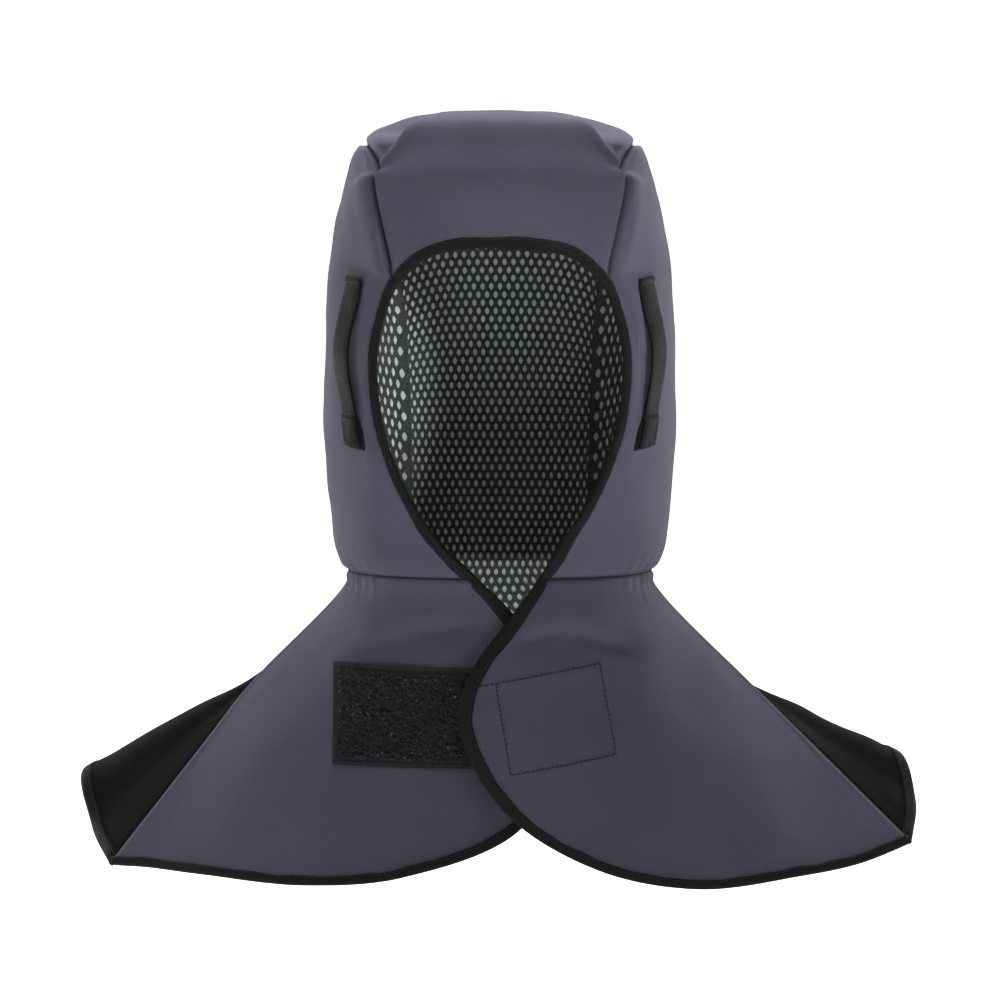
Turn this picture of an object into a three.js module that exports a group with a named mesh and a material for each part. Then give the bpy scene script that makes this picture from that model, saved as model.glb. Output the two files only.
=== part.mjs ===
// A cloth hood with a shoulder cape, as worn by a welder: a boxy hood of three panels with a net lining,
// an egg-shaped face opening, two front flaps that cross under the chin, and a back cape.
// Millimetres, +Z up, the face opening towards -Y. The origin is where the crown of the head meets the
// lining.
// "left" is the side at -X and "right" the side at +X, as seen by someone who faces the opening.
import * as THREE from 'three';

// Cloth and trim
const CLOTH = 1.6; // thickness of the shell and cape cloth
const LINING = 2.0; // thickness of the net lining with its backing
const GAP = 0.36; // clearance between neighbouring pieces
const MITRE_LIMIT = 0.7; // the sharpest seams aren't mitred to a point
const SEAM_GAP = 0.6; // clearance along the hood and shoulder seams
const TAPE = { lip: 1.0, reach: 6.4, fold: 1.0, slack: 0.7, leastAngle: 0.55 }; // binding tape

// How finely the panels are divided
const BROW_ROWS = 4; // rows of the crown panel up the forehead
const TOP_ROWS = 12; // rows over the top, and columns of a side panel
const SIDE_ROWS = 15; // rows down the back, and rows of a side panel
const CROWN_COLUMNS = 12;
const CAPE_ROWS = 11;
const FLAP_COLUMNS = 12;
const PATCH_ROWS = 4;
const PATCH_COLUMNS = 7;
const STRAP_ROWS = 14;
const STRAP_COLUMNS = 3;

// Neck seam, where the hood joins the cape
const NECK_Z = -293;

// Cloth edge of the face opening: an egg with a pointed chin that leans to the right
const FACE = {
  widestZ: -160, halfWidth: 79, topZ: -87, tipZ: -313, topRoundness: 2.55, tipRoundness: 2.1,
  tipShift: 8, shiftFromZ: -262,
};

// Level sections of the hood: half width, and depth to the front and to the back
const SECTION_ROUNDNESS = 2.6;
const LEVELS = [
  { z: -293, halfWidth: 99.5, front: 92, back: 97 },
  { z: -281, halfWidth: 105, front: 96, back: 105 },
  { z: -262, halfWidth: 109, front: 99, back: 113 },
  { z: -225, halfWidth: 112.5, front: 103, back: 122 },
  { z: -165, halfWidth: 113.8, front: 106, back: 128 },
  { z: -110, halfWidth: 110.8, front: 106, back: 126 },
  { z: -70, halfWidth: 105.5, front: 104, back: 118 },
  { z: -40, halfWidth: 99.5, front: 100, back: 105 },
  { z: -18, halfWidth: 90.5, front: 92, back: 92 },
];

// Crown panel, from the brow over the top and down to the nape: centre line, and the seam to a side panel
const CROWN_DOME = 3.5; // how flat the panel stays before it drops to its seams
const CROWN = [
  { at: 0.0, centreY: -104, centreZ: -87, seamX: 66, seamY: -93, seamZ: -111 },
  { at: 0.1, centreY: -103.5, centreZ: -45, seamX: 80, seamY: -90, seamZ: -47 },
  { at: 0.2, centreY: -82, centreZ: -7, seamX: 85, seamY: -62, seamZ: -25 },
  { at: 0.3, centreY: -34, centreZ: 0, seamX: 88, seamY: -24, seamZ: -19 },
  { at: 0.4, centreY: 15, centreZ: 0, seamX: 88.5, seamY: 17, seamZ: -19 },
  { at: 0.5, centreY: 72, centreZ: -12, seamX: 86, seamY: 62, seamZ: -31 },
  { at: 0.6, centreY: 113, centreZ: -55, seamX: 79, seamY: 98, seamZ: -72 },
  { at: 0.7, centreY: 128, centreZ: -118, seamX: 71, seamY: 113, seamZ: -128 },
  { at: 0.8, centreY: 125, centreZ: -200, seamX: 67, seamY: 111, seamZ: -200 },
  { at: 0.9, centreY: 113, centreZ: -262, seamX: 66, seamY: 98, seamZ: -262 },
  { at: 1.0, centreY: 95, centreZ: -293, seamX: 64, seamY: 80, seamZ: -293 },
];
const CORNER_AT = 0.2; // front end of the top run of the seam
const NAPE_CORNER_AT = 0.5; // back end of the top run of the seam

// Free edges of the two front flaps, from the neck seam round the rounded front corner to the hem tip
const FLAP_BELLY = { left: 5, right: 13 }; // how far the middle of a flap stands forward
const FLAP_CORNER = 0.42; // share of the edge that counts as the front edge, the rest being hem
const RIGHT_FLAP_EDGE = [
  { x: 7, y: -99, z: -317 }, { x: -18, y: -109, z: -351 }, { x: -24, y: -116, z: -383 },
  { x: 4, y: -123, z: -433.5 }, { x: 60, y: -125, z: -468 }, { x: 122, y: -116, z: -481.5 },
  { x: 190, y: -88, z: -478 }, { x: 228, y: -69, z: -473.5 },
];
const LEFT_FLAP_EDGE = [
  { x: 8, y: -90, z: -316 }, { x: 33, y: -90, z: -351 }, { x: 39, y: -92, z: -388 },
  { x: 13, y: -106, z: -445.5 }, { x: -60, y: -114, z: -474.5 }, { x: -122, y: -107, z: -480.5 },
  { x: -188, y: -82, z: -478 }, { x: -225, y: -62, z: -477 },
];

// Cape sections from the left shoulder seam round the back to the right one. "at" counts columns of the
// back cape, "knee" is where the cloth leaves the shoulder and "hem" is where it ends.
const BACK_COLUMNS = 24;
const CAPE = [
  { at: 0, kneeX: -163, kneeY: -5, kneeZ: -369, hemX: -246, hemY: -52, hemZ: -475.5 },
  { at: 2, kneeX: -162, kneeY: 0, kneeZ: -370, hemX: -265, hemY: -22, hemZ: -457.5 },
  { at: 4, kneeX: -161.5, kneeY: 12, kneeZ: -368.5, hemX: -273.5, hemY: 16, hemZ: -427 },
  { at: 7, kneeX: -124, kneeY: 66, kneeZ: -376, hemX: -206, hemY: 104, hemZ: -455 },
  { at: 9.5, kneeX: -70, kneeY: 110, kneeZ: -388, hemX: -110, hemY: 148, hemZ: -478 },
  { at: 12, kneeX: 0, kneeY: 126, kneeZ: -392, hemX: 0, hemY: 162, hemZ: -484 },
  { at: 14.5, kneeX: 70, kneeY: 110, kneeZ: -388, hemX: 110, hemY: 148, hemZ: -476 },
  { at: 17, kneeX: 124, kneeY: 66, kneeZ: -376, hemX: 204, hemY: 104, hemZ: -448 },
  { at: 20, kneeX: 163, kneeY: 12, kneeZ: -370.5, hemX: 263, hemY: 16, hemZ: -414.5 },
  { at: 22, kneeX: 165, kneeY: 0, kneeZ: -372, hemX: 272, hemY: -20, hemZ: -441 },
  { at: 24, kneeX: 166, kneeY: -5, kneeZ: -371, hemX: 262, hemY: -50, hemZ: -464 },
];
const NECK_DROP = 9; // the cape's cloth falls this far from the neck seam before it turns to the shoulder
const SLOPE_START = 0.35; // share of the way from the knee to the hem after which the cloth is straight

// Soft folds of the flaps: a line in the front view, how wide the fold is and how far it stands out
const FLAP_FOLDS = {
  left: [
    { fromX: -88, fromZ: -343, toX: -8, toZ: -322, width: 9, height: -3 },
    { fromX: -96, fromZ: -327, toX: -30, toZ: -309, width: 12, height: 3 },
    { fromX: -150, fromZ: -380, toX: -170, toZ: -470, width: 26, height: 4 },
  ],
  right: [
    { fromX: 8, fromZ: -334, toX: 88, toZ: -334, width: 10, height: -3.5 },
    { fromX: 32, fromZ: -309, toX: 98, toZ: -318, width: 12, height: 3 },
    { fromX: 150, fromZ: -385, toX: 176, toZ: -470, width: 26, height: 4 },
  ],
};

const FOLD_MARGIN = 0.12; // share of a flap along its edges that stays clear of folds

// Webbing loops on the side panels: place on the panel, slack in the middle, and the ends sewn down flat
const STRAP = {
  lowColumn: 0.14, highColumn: 0.167, lean: 3, halfColumns: 0.05, low: 0.3, high: 0.69,
  thickness: 1.4, slack: 3.6, sewnLow: 0.2, sewnHigh: 0.08,
};

// Hook-and-loop patches: centre, size and turn in the front view, and thickness
const LOOP_PATCH = { x: -59.5, z: -379.5, width: 90, height: 62, turn: 0, thickness: 2.0 };
const HOOK_PATCH = { x: 34.5, z: -378, width: 66, height: 56, turn: 9.5, thickness: 1.4 };
const PATCH_GAP = 0.8; // the patches bridge the shallow folds of the flaps

// Insides, to tell which way is out
const HEAD_MIDDLE = new THREE.Vector3(0, 10, -150);
const CAPE_MIDDLE = new THREE.Vector3(0, 30, -440);

const mix = THREE.MathUtils.lerp;
const smooth = THREE.MathUtils.smoothstep;
const point = (x, y, z) => new THREE.Vector3(x, y, z);

// Smooth curve through the rows of a table: every column as a function of the key column
function tableCurve(rows, key) {
  const columns = Object.keys(rows[0]);
  const slope = (row, column) => {
    const before = rows[Math.max(row - 1, 0)];
    const after = rows[Math.min(row + 1, rows.length - 1)];
    return (after[column] - before[column]) / (after[key] - before[key]);
  };
  return (value) => {
    let row = 0;
    while (row < rows.length - 2 && value > rows[row + 1][key]) row += 1;
    const [start, end] = [rows[row], rows[row + 1]];
    const span = end[key] - start[key];
    const t = THREE.MathUtils.clamp((value - start[key]) / span, 0, 1);
    const result = {};
    for (const column of columns) {
      const from = start[column];
      const to = end[column];
      const leave = slope(row, column) * span;
      const arrive = slope(row + 1, column) * span;
      result[column] = from + t * (leave + t * (3 * (to - from) - 2 * leave - arrive
        + t * (2 * (from - to) + leave + arrive)));
    }
    return result;
  };
}

const levelAt = tableCurve(LEVELS, 'z');
const crownAt = tableCurve(CROWN, 'at');
const capeAt = tableCurve(CAPE, 'at');

// Half width of the face opening at a height, and how far its middle leans to the right
function faceHalfWidth(z) {
  if (z > FACE.widestZ) {
    const rise = Math.min((z - FACE.widestZ) / (FACE.topZ - FACE.widestZ), 1);
    return FACE.halfWidth * (1 - rise ** FACE.topRoundness) ** (1 / FACE.topRoundness);
  }
  const drop = Math.min((FACE.widestZ - z) / (FACE.widestZ - FACE.tipZ), 1);
  return FACE.halfWidth * (1 - drop ** FACE.tipRoundness);
}
const faceShift = (z) => FACE.tipShift * smooth(FACE.shiftFromZ - z, 0, FACE.shiftFromZ - FACE.tipZ);

// Point of a hood section at an angle from the front (0) round the side (90 degrees) to the back
function sectionPoint(level, angle) {
  const power = 2 / SECTION_ROUNDNESS;
  const depth = angle < Math.PI / 2 ? -level.front : level.back;
  return {
    x: level.halfWidth * Math.sin(angle) ** power,
    y: depth * Math.abs(Math.cos(angle)) ** power,
  };
}
function sectionAngle(level, x) {
  return Math.asin(Math.min(x / level.halfWidth, 1) ** (SECTION_ROUNDNESS / 2));
}

const seamPoint = (side, at) => {
  const row = crownAt(at);
  return point(side * row.seamX, row.seamY, row.seamZ);
};

// Side panel as a smooth surface: column 0 at the face, 1 at the back seam, row 0 at the neck, 1 at the top
function sidePanel(side) {
  const browShare = 1 - BROW_ROWS / SIDE_ROWS;
  const browZ = CROWN[0].seamZ;
  const faceEdge = (row) => {
    if (row > browShare) return seamPoint(side, CORNER_AT * (row - browShare) / (1 - browShare));
    const z = mix(NECK_Z, browZ, row / browShare);
    const x = faceHalfWidth(z) + side * faceShift(z);
    const level = levelAt(z);
    const onSection = point(side * x, sectionPoint(level, sectionAngle(level, x)).y, z);
    return onSection.lerp(seamPoint(side, 0), smooth(row, browShare * 0.75, browShare));
  };
  const backEdge = (row) => seamPoint(side, mix(1, NAPE_CORNER_AT, row));
  const body = (column, row) => {
    const front = faceEdge(row);
    const back = backEdge(row);
    const widestZ = mix(NECK_Z, LEVELS.at(-1).z, row);
    const level = levelAt(widestZ);
    const isFront = column < 0.5;
    const edge = isFront ? front : back;
    const away = Math.abs(column - 0.5) * 2;
    const edgeAngle = sectionAngle(level, Math.abs(edge.x));
    const fromFront = mix(Math.PI / 2, edgeAngle, away);
    const angle = isFront ? fromFront : Math.PI - fromFront;
    const onSection = sectionPoint(level, angle);
    const edgePoint = sectionPoint(level, isFront ? edgeAngle : Math.PI - edgeAngle);
    const fix = smooth(away, 0, 1);
    return point(
      side * (onSection.x + (Math.abs(edge.x) - edgePoint.x) * fix),
      onSection.y + (edge.y - edgePoint.y) * fix,
      mix(widestZ, edge.z, away * away),
    );
  };
  return (column, row) => {
    const place = body(column, row);
    const nearTop = smooth(row, 0.8, 1);
    if (nearTop === 0) return place;
    const seam = seamPoint(side, mix(CORNER_AT, NAPE_CORNER_AT, column));
    return place.add(seam.sub(body(column, 1)).multiplyScalar(nearTop));
  };
}

// Rows of points: grid[row][column]
function gridOf(rows, columns, place) {
  return Array.from({ length: rows + 1 }, (_, row) =>
    Array.from({ length: columns + 1 }, (_, column) => place(column / columns, row / rows)));
}

function crownGrid() {
  const places = [];
  for (let row = 0; row < BROW_ROWS; row += 1) places.push(CORNER_AT * row / BROW_ROWS);
  for (let row = 0; row < TOP_ROWS; row += 1) places.push(mix(CORNER_AT, NAPE_CORNER_AT, row / TOP_ROWS));
  for (let row = 0; row <= SIDE_ROWS; row += 1) places.push(mix(NAPE_CORNER_AT, 1, row / SIDE_ROWS));
  return places.map((at) => {
    const row = crownAt(at);
    return Array.from({ length: CROWN_COLUMNS + 1 }, (_, column) => {
      const across = 2 * column / CROWN_COLUMNS - 1;
      const drop = Math.abs(across) ** CROWN_DOME;
      return point(row.seamX * across, mix(row.centreY, row.seamY, drop), mix(row.centreZ, row.seamZ, drop));
    });
  });
}

// Outward unit directions of a grid
function outwardOf(grid, inside) {
  const lastRow = grid.length - 1;
  const lastColumn = grid[0].length - 1;
  let facing = 0;
  const directions = grid.map((line, row) => line.map((place, column) => {
    const along = line[Math.min(column + 1, lastColumn)].clone().sub(line[Math.max(column - 1, 0)]);
    const down = grid[Math.min(row + 1, lastRow)][column].clone().sub(grid[Math.max(row - 1, 0)][column]);
    const direction = along.cross(down).normalize();
    facing += direction.dot(place.clone().sub(inside));
    return direction;
  }));
  if (facing < 0) directions.flat().forEach((direction) => direction.negate());
  return directions;
}

// Where two panels meet, both use the direction between their own, lengthened as a mitre is
function mitre(first, second) {
  const between = first.clone().add(second).normalize();
  between.divideScalar(Math.max(between.dot(first), MITRE_LIMIT));
  first.copy(between);
  second.copy(between);
}

// Level outward direction at the neck seam
function levelOut(direction) {
  direction.setZ(0).normalize();
}

// Draws one edge of a panel back from its seam
function drawBack(edge, next, distance) {
  edge.forEach((place, index) => place.add(next[index].clone().sub(place).setLength(distance)));
}

const columnOf = (grid, column) => grid.map((line) => line.at(column));

// Solid from points and triangles, turned so that its faces point out
function solid(places, triangles) {
  let volume = 0;
  for (const [a, b, c] of triangles) volume += places[a].dot(places[b].clone().cross(places[c]));
  const ordered = volume < 0 ? triangles.map(([a, b, c]) => [a, c, b]) : triangles;
  const geometry = new THREE.BufferGeometry().setFromPoints(places);
  geometry.setIndex(ordered.flat());
  geometry.computeVertexNormals();
  return geometry;
}

// Cloth wall between two offsets from a grid
function wall(grid, outward, outer, inner) {
  const rows = grid.length;
  const columns = grid[0].length;
  const offset = (distance) => grid.flatMap((line, row) =>
    line.map((place, column) => place.clone().addScaledVector(outward[row][column], distance)));
  const places = [...offset(outer), ...offset(inner)];
  const count = rows * columns;
  const triangles = [];
  const quad = (a, b, c, d) => triangles.push([a, b, c], [a, c, d]);
  for (let row = 0; row < rows - 1; row += 1) {
    for (let column = 0; column < columns - 1; column += 1) {
      const a = row * columns + column;
      quad(a, a + 1, a + columns + 1, a + columns);
      quad(count + a, count + a + columns, count + a + columns + 1, count + a + 1);
    }
  }
  const rim = [];
  for (let column = 0; column < columns - 1; column += 1) rim.push(column);
  for (let row = 0; row < rows - 1; row += 1) rim.push(row * columns + columns - 1);
  for (let column = columns - 1; column > 0; column -= 1) rim.push((rows - 1) * columns + column);
  for (let row = rows - 1; row > 0; row -= 1) rim.push(row * columns);
  rim.forEach((a, index) => {
    const b = rim[(index + 1) % rim.length];
    quad(a, count + a, count + b, b);
  });
  return solid(places, triangles);
}

// Binding tape folded round a cloth edge. Each station has the edge, the next point inside, the way out, and
// whether the cloth's facets split from the edge, which the tape's facets follow.
function binding(stations, enclosed) {
  const { lip, reach, fold, slack, leastAngle } = TAPE;
  const profile = [
    [reach, GAP + lip], [-GAP - fold, GAP + lip],
    [-GAP - fold, -enclosed - slack - lip], [reach, -enclosed - slack - lip],
    [reach, -enclosed - slack], [-GAP, -enclosed - slack], [-GAP, GAP], [reach, GAP],
  ];
  const sides = profile.length;
  const places = stations.flatMap(({ edge, next, out }, index) => {
    const before = stations[Math.max(index - 1, 0)].edge;
    const after = stations[Math.min(index + 1, stations.length - 1)].edge;
    const along = after.clone().sub(before).normalize();
    const inward = next.clone().sub(edge).normalize();
    const stretch = 1 / Math.max(inward.clone().cross(along).length(), leastAngle);
    return profile.map(([across, up]) =>
      edge.clone().addScaledVector(inward, across * stretch).addScaledVector(out, up));
  });
  const triangles = [];
  for (let station = 0; station < stations.length - 1; station += 1) {
    for (let side = 0; side < sides; side += 1) {
      const a = station * sides + side;
      const b = station * sides + (side + 1) % sides;
      const startsAtLip = side % 4 === 0;
      if (startsAtLip === stations[station].fromEdge) {
        triangles.push([a, b, a + sides], [b, b + sides, a + sides]);
      } else {
        triangles.push([a, b, b + sides], [a, b + sides, a + sides]);
      }
    }
  }
  const capQuads = [[0, 1, 6, 7], [1, 2, 5, 6], [2, 3, 4, 5]];
  const last = (stations.length - 1) * sides;
  for (const [a, b, c, d] of capQuads) {
    triangles.push([a, c, b], [a, d, c]);
    triangles.push([last + a, last + b, last + c], [last + a, last + c, last + d]);
  }
  return solid(places, triangles);
}

// Stations of a binding along one edge of a grid
function stationsOf(edge, next, outward, fromEdge) {
  return edge.map((place, index) => ({
    edge: place, next: next[index], out: outward[index].clone().normalize(), fromEdge,
  }));
}

// Smooth curve through points
const curveThrough = (...places) => new THREE.CatmullRomCurve3(places, false, 'centripetal');

// Column of the cape from the neck seam over the knee to the hem
function capeColumn(neck, at) {
  const row = capeAt(at);
  const drop = neck.clone().setZ(neck.z - NECK_DROP);
  const knee = point(row.kneeX, row.kneeY, row.kneeZ);
  const hem = point(row.hemX, row.hemY, row.hemZ);
  return curveThrough(neck, drop, knee, knee.clone().lerp(hem, SLOPE_START), hem);
}

// How far the folds of a flap stand out at a place in the front view
function foldHeight(folds, place) {
  let height = 0;
  for (const fold of folds) {
    const along = new THREE.Vector2(fold.toX - fold.fromX, fold.toZ - fold.fromZ);
    const reach = new THREE.Vector2(place.x - fold.fromX, place.z - fold.fromZ);
    const share = reach.dot(along) / along.lengthSq();
    const aside = Math.abs(reach.cross(along)) / along.length();
    const fade = smooth(share, -0.15, 0.25) * (1 - smooth(share, 0.75, 1.15));
    height += fold.height * fade * Math.exp(-((aside / fold.width) ** 2));
  }
  return height;
}

// Front flap as a smooth surface between its four edges: column 0 at the shoulder seam, 1 at the front edge
function frontFlap(neckAt, shoulder, edgeRows, folds, belly) {
  const tip = shoulder.getPointAt(1);
  const free = curveThrough(neckAt(1), ...edgeRows.map((row) => point(row.x, row.y, row.z)), tip);
  const corners = [neckAt(0), neckAt(1), tip, free.getPointAt(FLAP_CORNER)];
  return (column, row) => {
    const place = neckAt(column).multiplyScalar(1 - row)
      .addScaledVector(free.getPointAt(mix(1, FLAP_CORNER, column)), row)
      .addScaledVector(shoulder.getPointAt(row), 1 - column)
      .addScaledVector(free.getPointAt(FLAP_CORNER * row), column)
      .addScaledVector(corners[0], -(1 - column) * (1 - row))
      .addScaledVector(corners[1], -column * (1 - row))
      .addScaledVector(corners[2], -(1 - column) * row)
      .addScaledVector(corners[3], -column * row);
    const inner = Math.min(column, 1 - column, row, 1 - row);
    place.y -= foldHeight(folds, place) * smooth(inner, 0, FOLD_MARGIN);
    place.y -= belly * Math.sin(Math.PI * column) * Math.sin(Math.PI * row);
    return place;
  };
}

// Flat patch sewn to a flap: a turned rectangle in the front view, carried to the flap's surface
function patchGrid(flap, patch) {
  const turn = THREE.MathUtils.degToRad(patch.turn);
  return gridOf(PATCH_ROWS, PATCH_COLUMNS, (across, down) => {
    const x = (across - 0.5) * patch.width;
    const z = (0.5 - down) * patch.height;
    const aimX = patch.x + x * Math.cos(turn) - z * Math.sin(turn);
    const aimZ = patch.z + x * Math.sin(turn) + z * Math.cos(turn);
    let [column, row] = [0.6, 0.5];
    const step = 0.01;
    for (let round = 0; round < 12; round += 1) {
      const here = flap(column, row);
      const toColumn = flap(column + step, row).sub(here).divideScalar(step);
      const toRow = flap(column, row + step).sub(here).divideScalar(step);
      const area = toColumn.x * toRow.z - toColumn.z * toRow.x;
      column += ((aimX - here.x) * toRow.z - (aimZ - here.z) * toRow.x) / area;
      row += ((aimZ - here.z) * toColumn.x - (aimX - here.x) * toColumn.z) / area;
      column = THREE.MathUtils.clamp(column, 0, 1 - step);
      row = THREE.MathUtils.clamp(row, 0, 1 - step);
    }
    return flap(column, row);
  });
}

// Webbing loop: lies on the side panel at its two sewn ends and stands off between them
function strapGrids(panel) {
  const grid = gridOf(STRAP_ROWS, STRAP_COLUMNS, (across, up) => panel(
    mix(STRAP.lowColumn, STRAP.highColumn, up ** STRAP.lean) + (across * 2 - 1) * STRAP.halfColumns,
    mix(STRAP.low, STRAP.high, up),
  ));
  const outward = outwardOf(grid, HEAD_MIDDLE);
  const raised = grid.map((line, row) => line.map((place, column) => {
    const up = row / (grid.length - 1);
    const free = THREE.MathUtils.clamp((up - STRAP.sewnLow) / (1 - STRAP.sewnLow - STRAP.sewnHigh), 0, 1);
    return place.clone().addScaledVector(outward[row][column], STRAP.slack * Math.sin(Math.PI * free) ** 2);
  }));
  return { grid: raised, outward: outwardOf(raised, HEAD_MIDDLE) };
}

// Hood panels
const SIDES = { left: -1, right: 1 };
const crown = { grid: crownGrid() };
crown.outward = outwardOf(crown.grid, HEAD_MIDDLE);
const sides = {};
for (const [name, side] of Object.entries(SIDES)) {
  const surface = sidePanel(side);
  const grid = gridOf(SIDE_ROWS, TOP_ROWS, surface);
  sides[name] = { surface, grid, outward: outwardOf(grid, HEAD_MIDDLE) };
}

// Cape panels hang from the hood's lower edge
const neckLine = {};
for (const name of Object.keys(SIDES)) {
  const edge = sides[name].grid[0].map((place) => place.clone());
  neckLine[name] = (column) => {
    const steps = column * (edge.length - 1);
    const index = Math.min(Math.floor(steps), edge.length - 2);
    return edge[index].clone().lerp(edge[index + 1], steps - index);
  };
}
const crownNeck = crown.grid.at(-1).map((place) => place.clone());
const backNeck = (index) => {
  const half = TOP_ROWS / 2;
  if (index <= half) return neckLine.left(0.5 + index / TOP_ROWS);
  if (index < half + CROWN_COLUMNS) return crownNeck[index - half].clone();
  return neckLine.right(0.5 + (BACK_COLUMNS - index) / TOP_ROWS);
};
const shoulders = {
  left: capeColumn(backNeck(0), 0),
  right: capeColumn(backNeck(BACK_COLUMNS), BACK_COLUMNS),
};
const backCurves = Array.from({ length: BACK_COLUMNS + 1 }, (_, index) => capeColumn(backNeck(index), index));
const backCape = { grid: gridOf(CAPE_ROWS, BACK_COLUMNS, (column, row) =>
  backCurves[Math.round(column * BACK_COLUMNS)].getPointAt(row)) };
backCape.outward = outwardOf(backCape.grid, CAPE_MIDDLE);
const flaps = {};
for (const name of Object.keys(SIDES)) {
  const neckAt = (column) => neckLine[name](0.5 - column / 2);
  const edgeRows = name === 'left' ? LEFT_FLAP_EDGE : RIGHT_FLAP_EDGE;
  const surface = frontFlap(neckAt, shoulders[name], edgeRows, FLAP_FOLDS[name], FLAP_BELLY[name]);
  const grid = gridOf(CAPE_ROWS, FLAP_COLUMNS, surface);
  flaps[name] = { surface, grid, outward: outwardOf(grid, CAPE_MIDDLE) };
}

// Shared directions along the crown seams, the shoulder seams and the neck seam
for (const name of Object.keys(SIDES)) {
  const crownSide = columnOf(crown.outward, name === 'left' ? 0 : -1);
  const panel = sides[name].outward;
  const front = columnOf(panel, 0).slice(SIDE_ROWS - BROW_ROWS);
  const top = panel.at(-1);
  const back = columnOf(panel, -1).reverse();
  [...front, ...top.slice(1), ...back.slice(1)].forEach((out, index) => mitre(out, crownSide[index]));
  const capeSide = columnOf(backCape.outward, name === 'left' ? 0 : -1);
  columnOf(flaps[name].outward, 0).forEach((out, index) => mitre(out, capeSide[index]));
}
const hoodPanels = [crown, sides.left, sides.right];
const neckRows = [
  crown.outward.at(-1), sides.left.outward[0], sides.right.outward[0],
  flaps.left.outward[0], flaps.right.outward[0], backCape.outward[0],
];
neckRows.flat().forEach(levelOut);

// Seam clearances
const half = SEAM_GAP / 2;
drawBack(columnOf(crown.grid, 0), columnOf(crown.grid, 1), half);
drawBack(columnOf(crown.grid, -1), columnOf(crown.grid, -2), half);
drawBack(crown.grid.at(-1), crown.grid.at(-2), half);
for (const name of Object.keys(SIDES)) {
  const panel = sides[name].grid;
  const seamRows = SIDE_ROWS - BROW_ROWS + 1;
  drawBack(columnOf(panel, 0).slice(seamRows), columnOf(panel, 1).slice(seamRows), half);
  drawBack(panel.at(-1), panel.at(-2), half);
  drawBack(columnOf(panel, -1), columnOf(panel, -2), half);
  drawBack(panel[0], panel[1], half);
  drawBack(columnOf(flaps[name].grid, 0), columnOf(flaps[name].grid, 1), half);
  drawBack(flaps[name].grid[0], flaps[name].grid[1], half);
}
drawBack(columnOf(backCape.grid, 0), columnOf(backCape.grid, 1), half);
drawBack(columnOf(backCape.grid, -1), columnOf(backCape.grid, -2), half);
drawBack(backCape.grid[0], backCape.grid[1], half);

// Finishes
const finish = (color, roughness) => new THREE.MeshStandardMaterial({ color, roughness, metalness: 0 });
const GREY_CLOTH = finish('#4c4b58', 0.85);
const BLACK_CLOTH = finish('#1d1c1c', 0.85);
const BLACK_TAPE = finish('#1e1e1d', 0.8);
const NET = finish('#2b2d2c', 0.9);
const WEBBING = finish('#242323', 0.75);
const HOOK_AND_LOOP = finish('#1d1d1e', 0.95);

const hood = new THREE.Group();
hood.position.z = CLOTH + GAP + LINING; // the seat of the head is on the lining
function addPiece(name, geometry, material) {
  const mesh = new THREE.Mesh(geometry, material);
  mesh.name = name;
  hood.add(mesh);
}

// Shell and lining
const panelNames = [['crown_panel', 'crown_lining'], ['side_panel_left', 'side_lining_left'],
  ['side_panel_right', 'side_lining_right']];
const liningTop = -CLOTH - GAP;
hoodPanels.forEach(({ grid, outward }, index) => {
  const [shell, lining] = panelNames[index];
  addPiece(shell, wall(grid, outward, 0, -CLOTH), GREY_CLOTH);
  addPiece(lining, wall(grid, outward, liningTop, liningTop - LINING), NET);
});

// Cape
addPiece('front_flap_left', wall(flaps.left.grid, flaps.left.outward, 0, -CLOTH), GREY_CLOTH);
addPiece('front_flap_right', wall(flaps.right.grid, flaps.right.outward, 0, -CLOTH), GREY_CLOTH);
addPiece('back_cape', wall(backCape.grid, backCape.outward, 0, -CLOTH), BLACK_CLOTH);

// Bindings
const faceRows = SIDE_ROWS - BROW_ROWS + 1;
const faceSide = ({ grid, outward }, fromEdge) => stationsOf(columnOf(grid, 0).slice(0, faceRows),
  columnOf(grid, 1).slice(0, faceRows), columnOf(outward, 0).slice(0, faceRows), fromEdge);
const faceStations = [
  ...faceSide(sides.left, true),
  ...stationsOf(crown.grid[0], crown.grid[1], crown.outward[0], true),
  ...faceSide(sides.right, false).reverse(),
];
addPiece('face_binding', binding(faceStations, CLOTH + GAP + LINING), BLACK_TAPE);
for (const [name, { grid, outward }] of Object.entries(flaps)) {
  const front = [columnOf(grid, -1), columnOf(grid, -2), columnOf(outward, -1)];
  const frontEdge = stationsOf(...front, false).slice(0, -1);
  const [corner] = stationsOf([grid.at(-1).at(-1)], [grid.at(-2).at(-2)], [outward.at(-1).at(-1)], true);
  const hem = stationsOf(grid.at(-1), grid.at(-2), outward.at(-1), true).slice(0, -1).reverse();
  addPiece(`flap_binding_${name}`, binding([...frontEdge, corner, ...hem], CLOTH), BLACK_TAPE);
}
const backHem = stationsOf(backCape.grid.at(-1), backCape.grid.at(-2), backCape.outward.at(-1), false);
addPiece('back_binding', binding(backHem, CLOTH), BLACK_TAPE);

// Webbing loops
for (const name of Object.keys(SIDES)) {
  const { grid, outward } = strapGrids(sides[name].surface);
  addPiece(`side_strap_${name}`, wall(grid, outward, GAP + STRAP.thickness, GAP), WEBBING);
}

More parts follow.
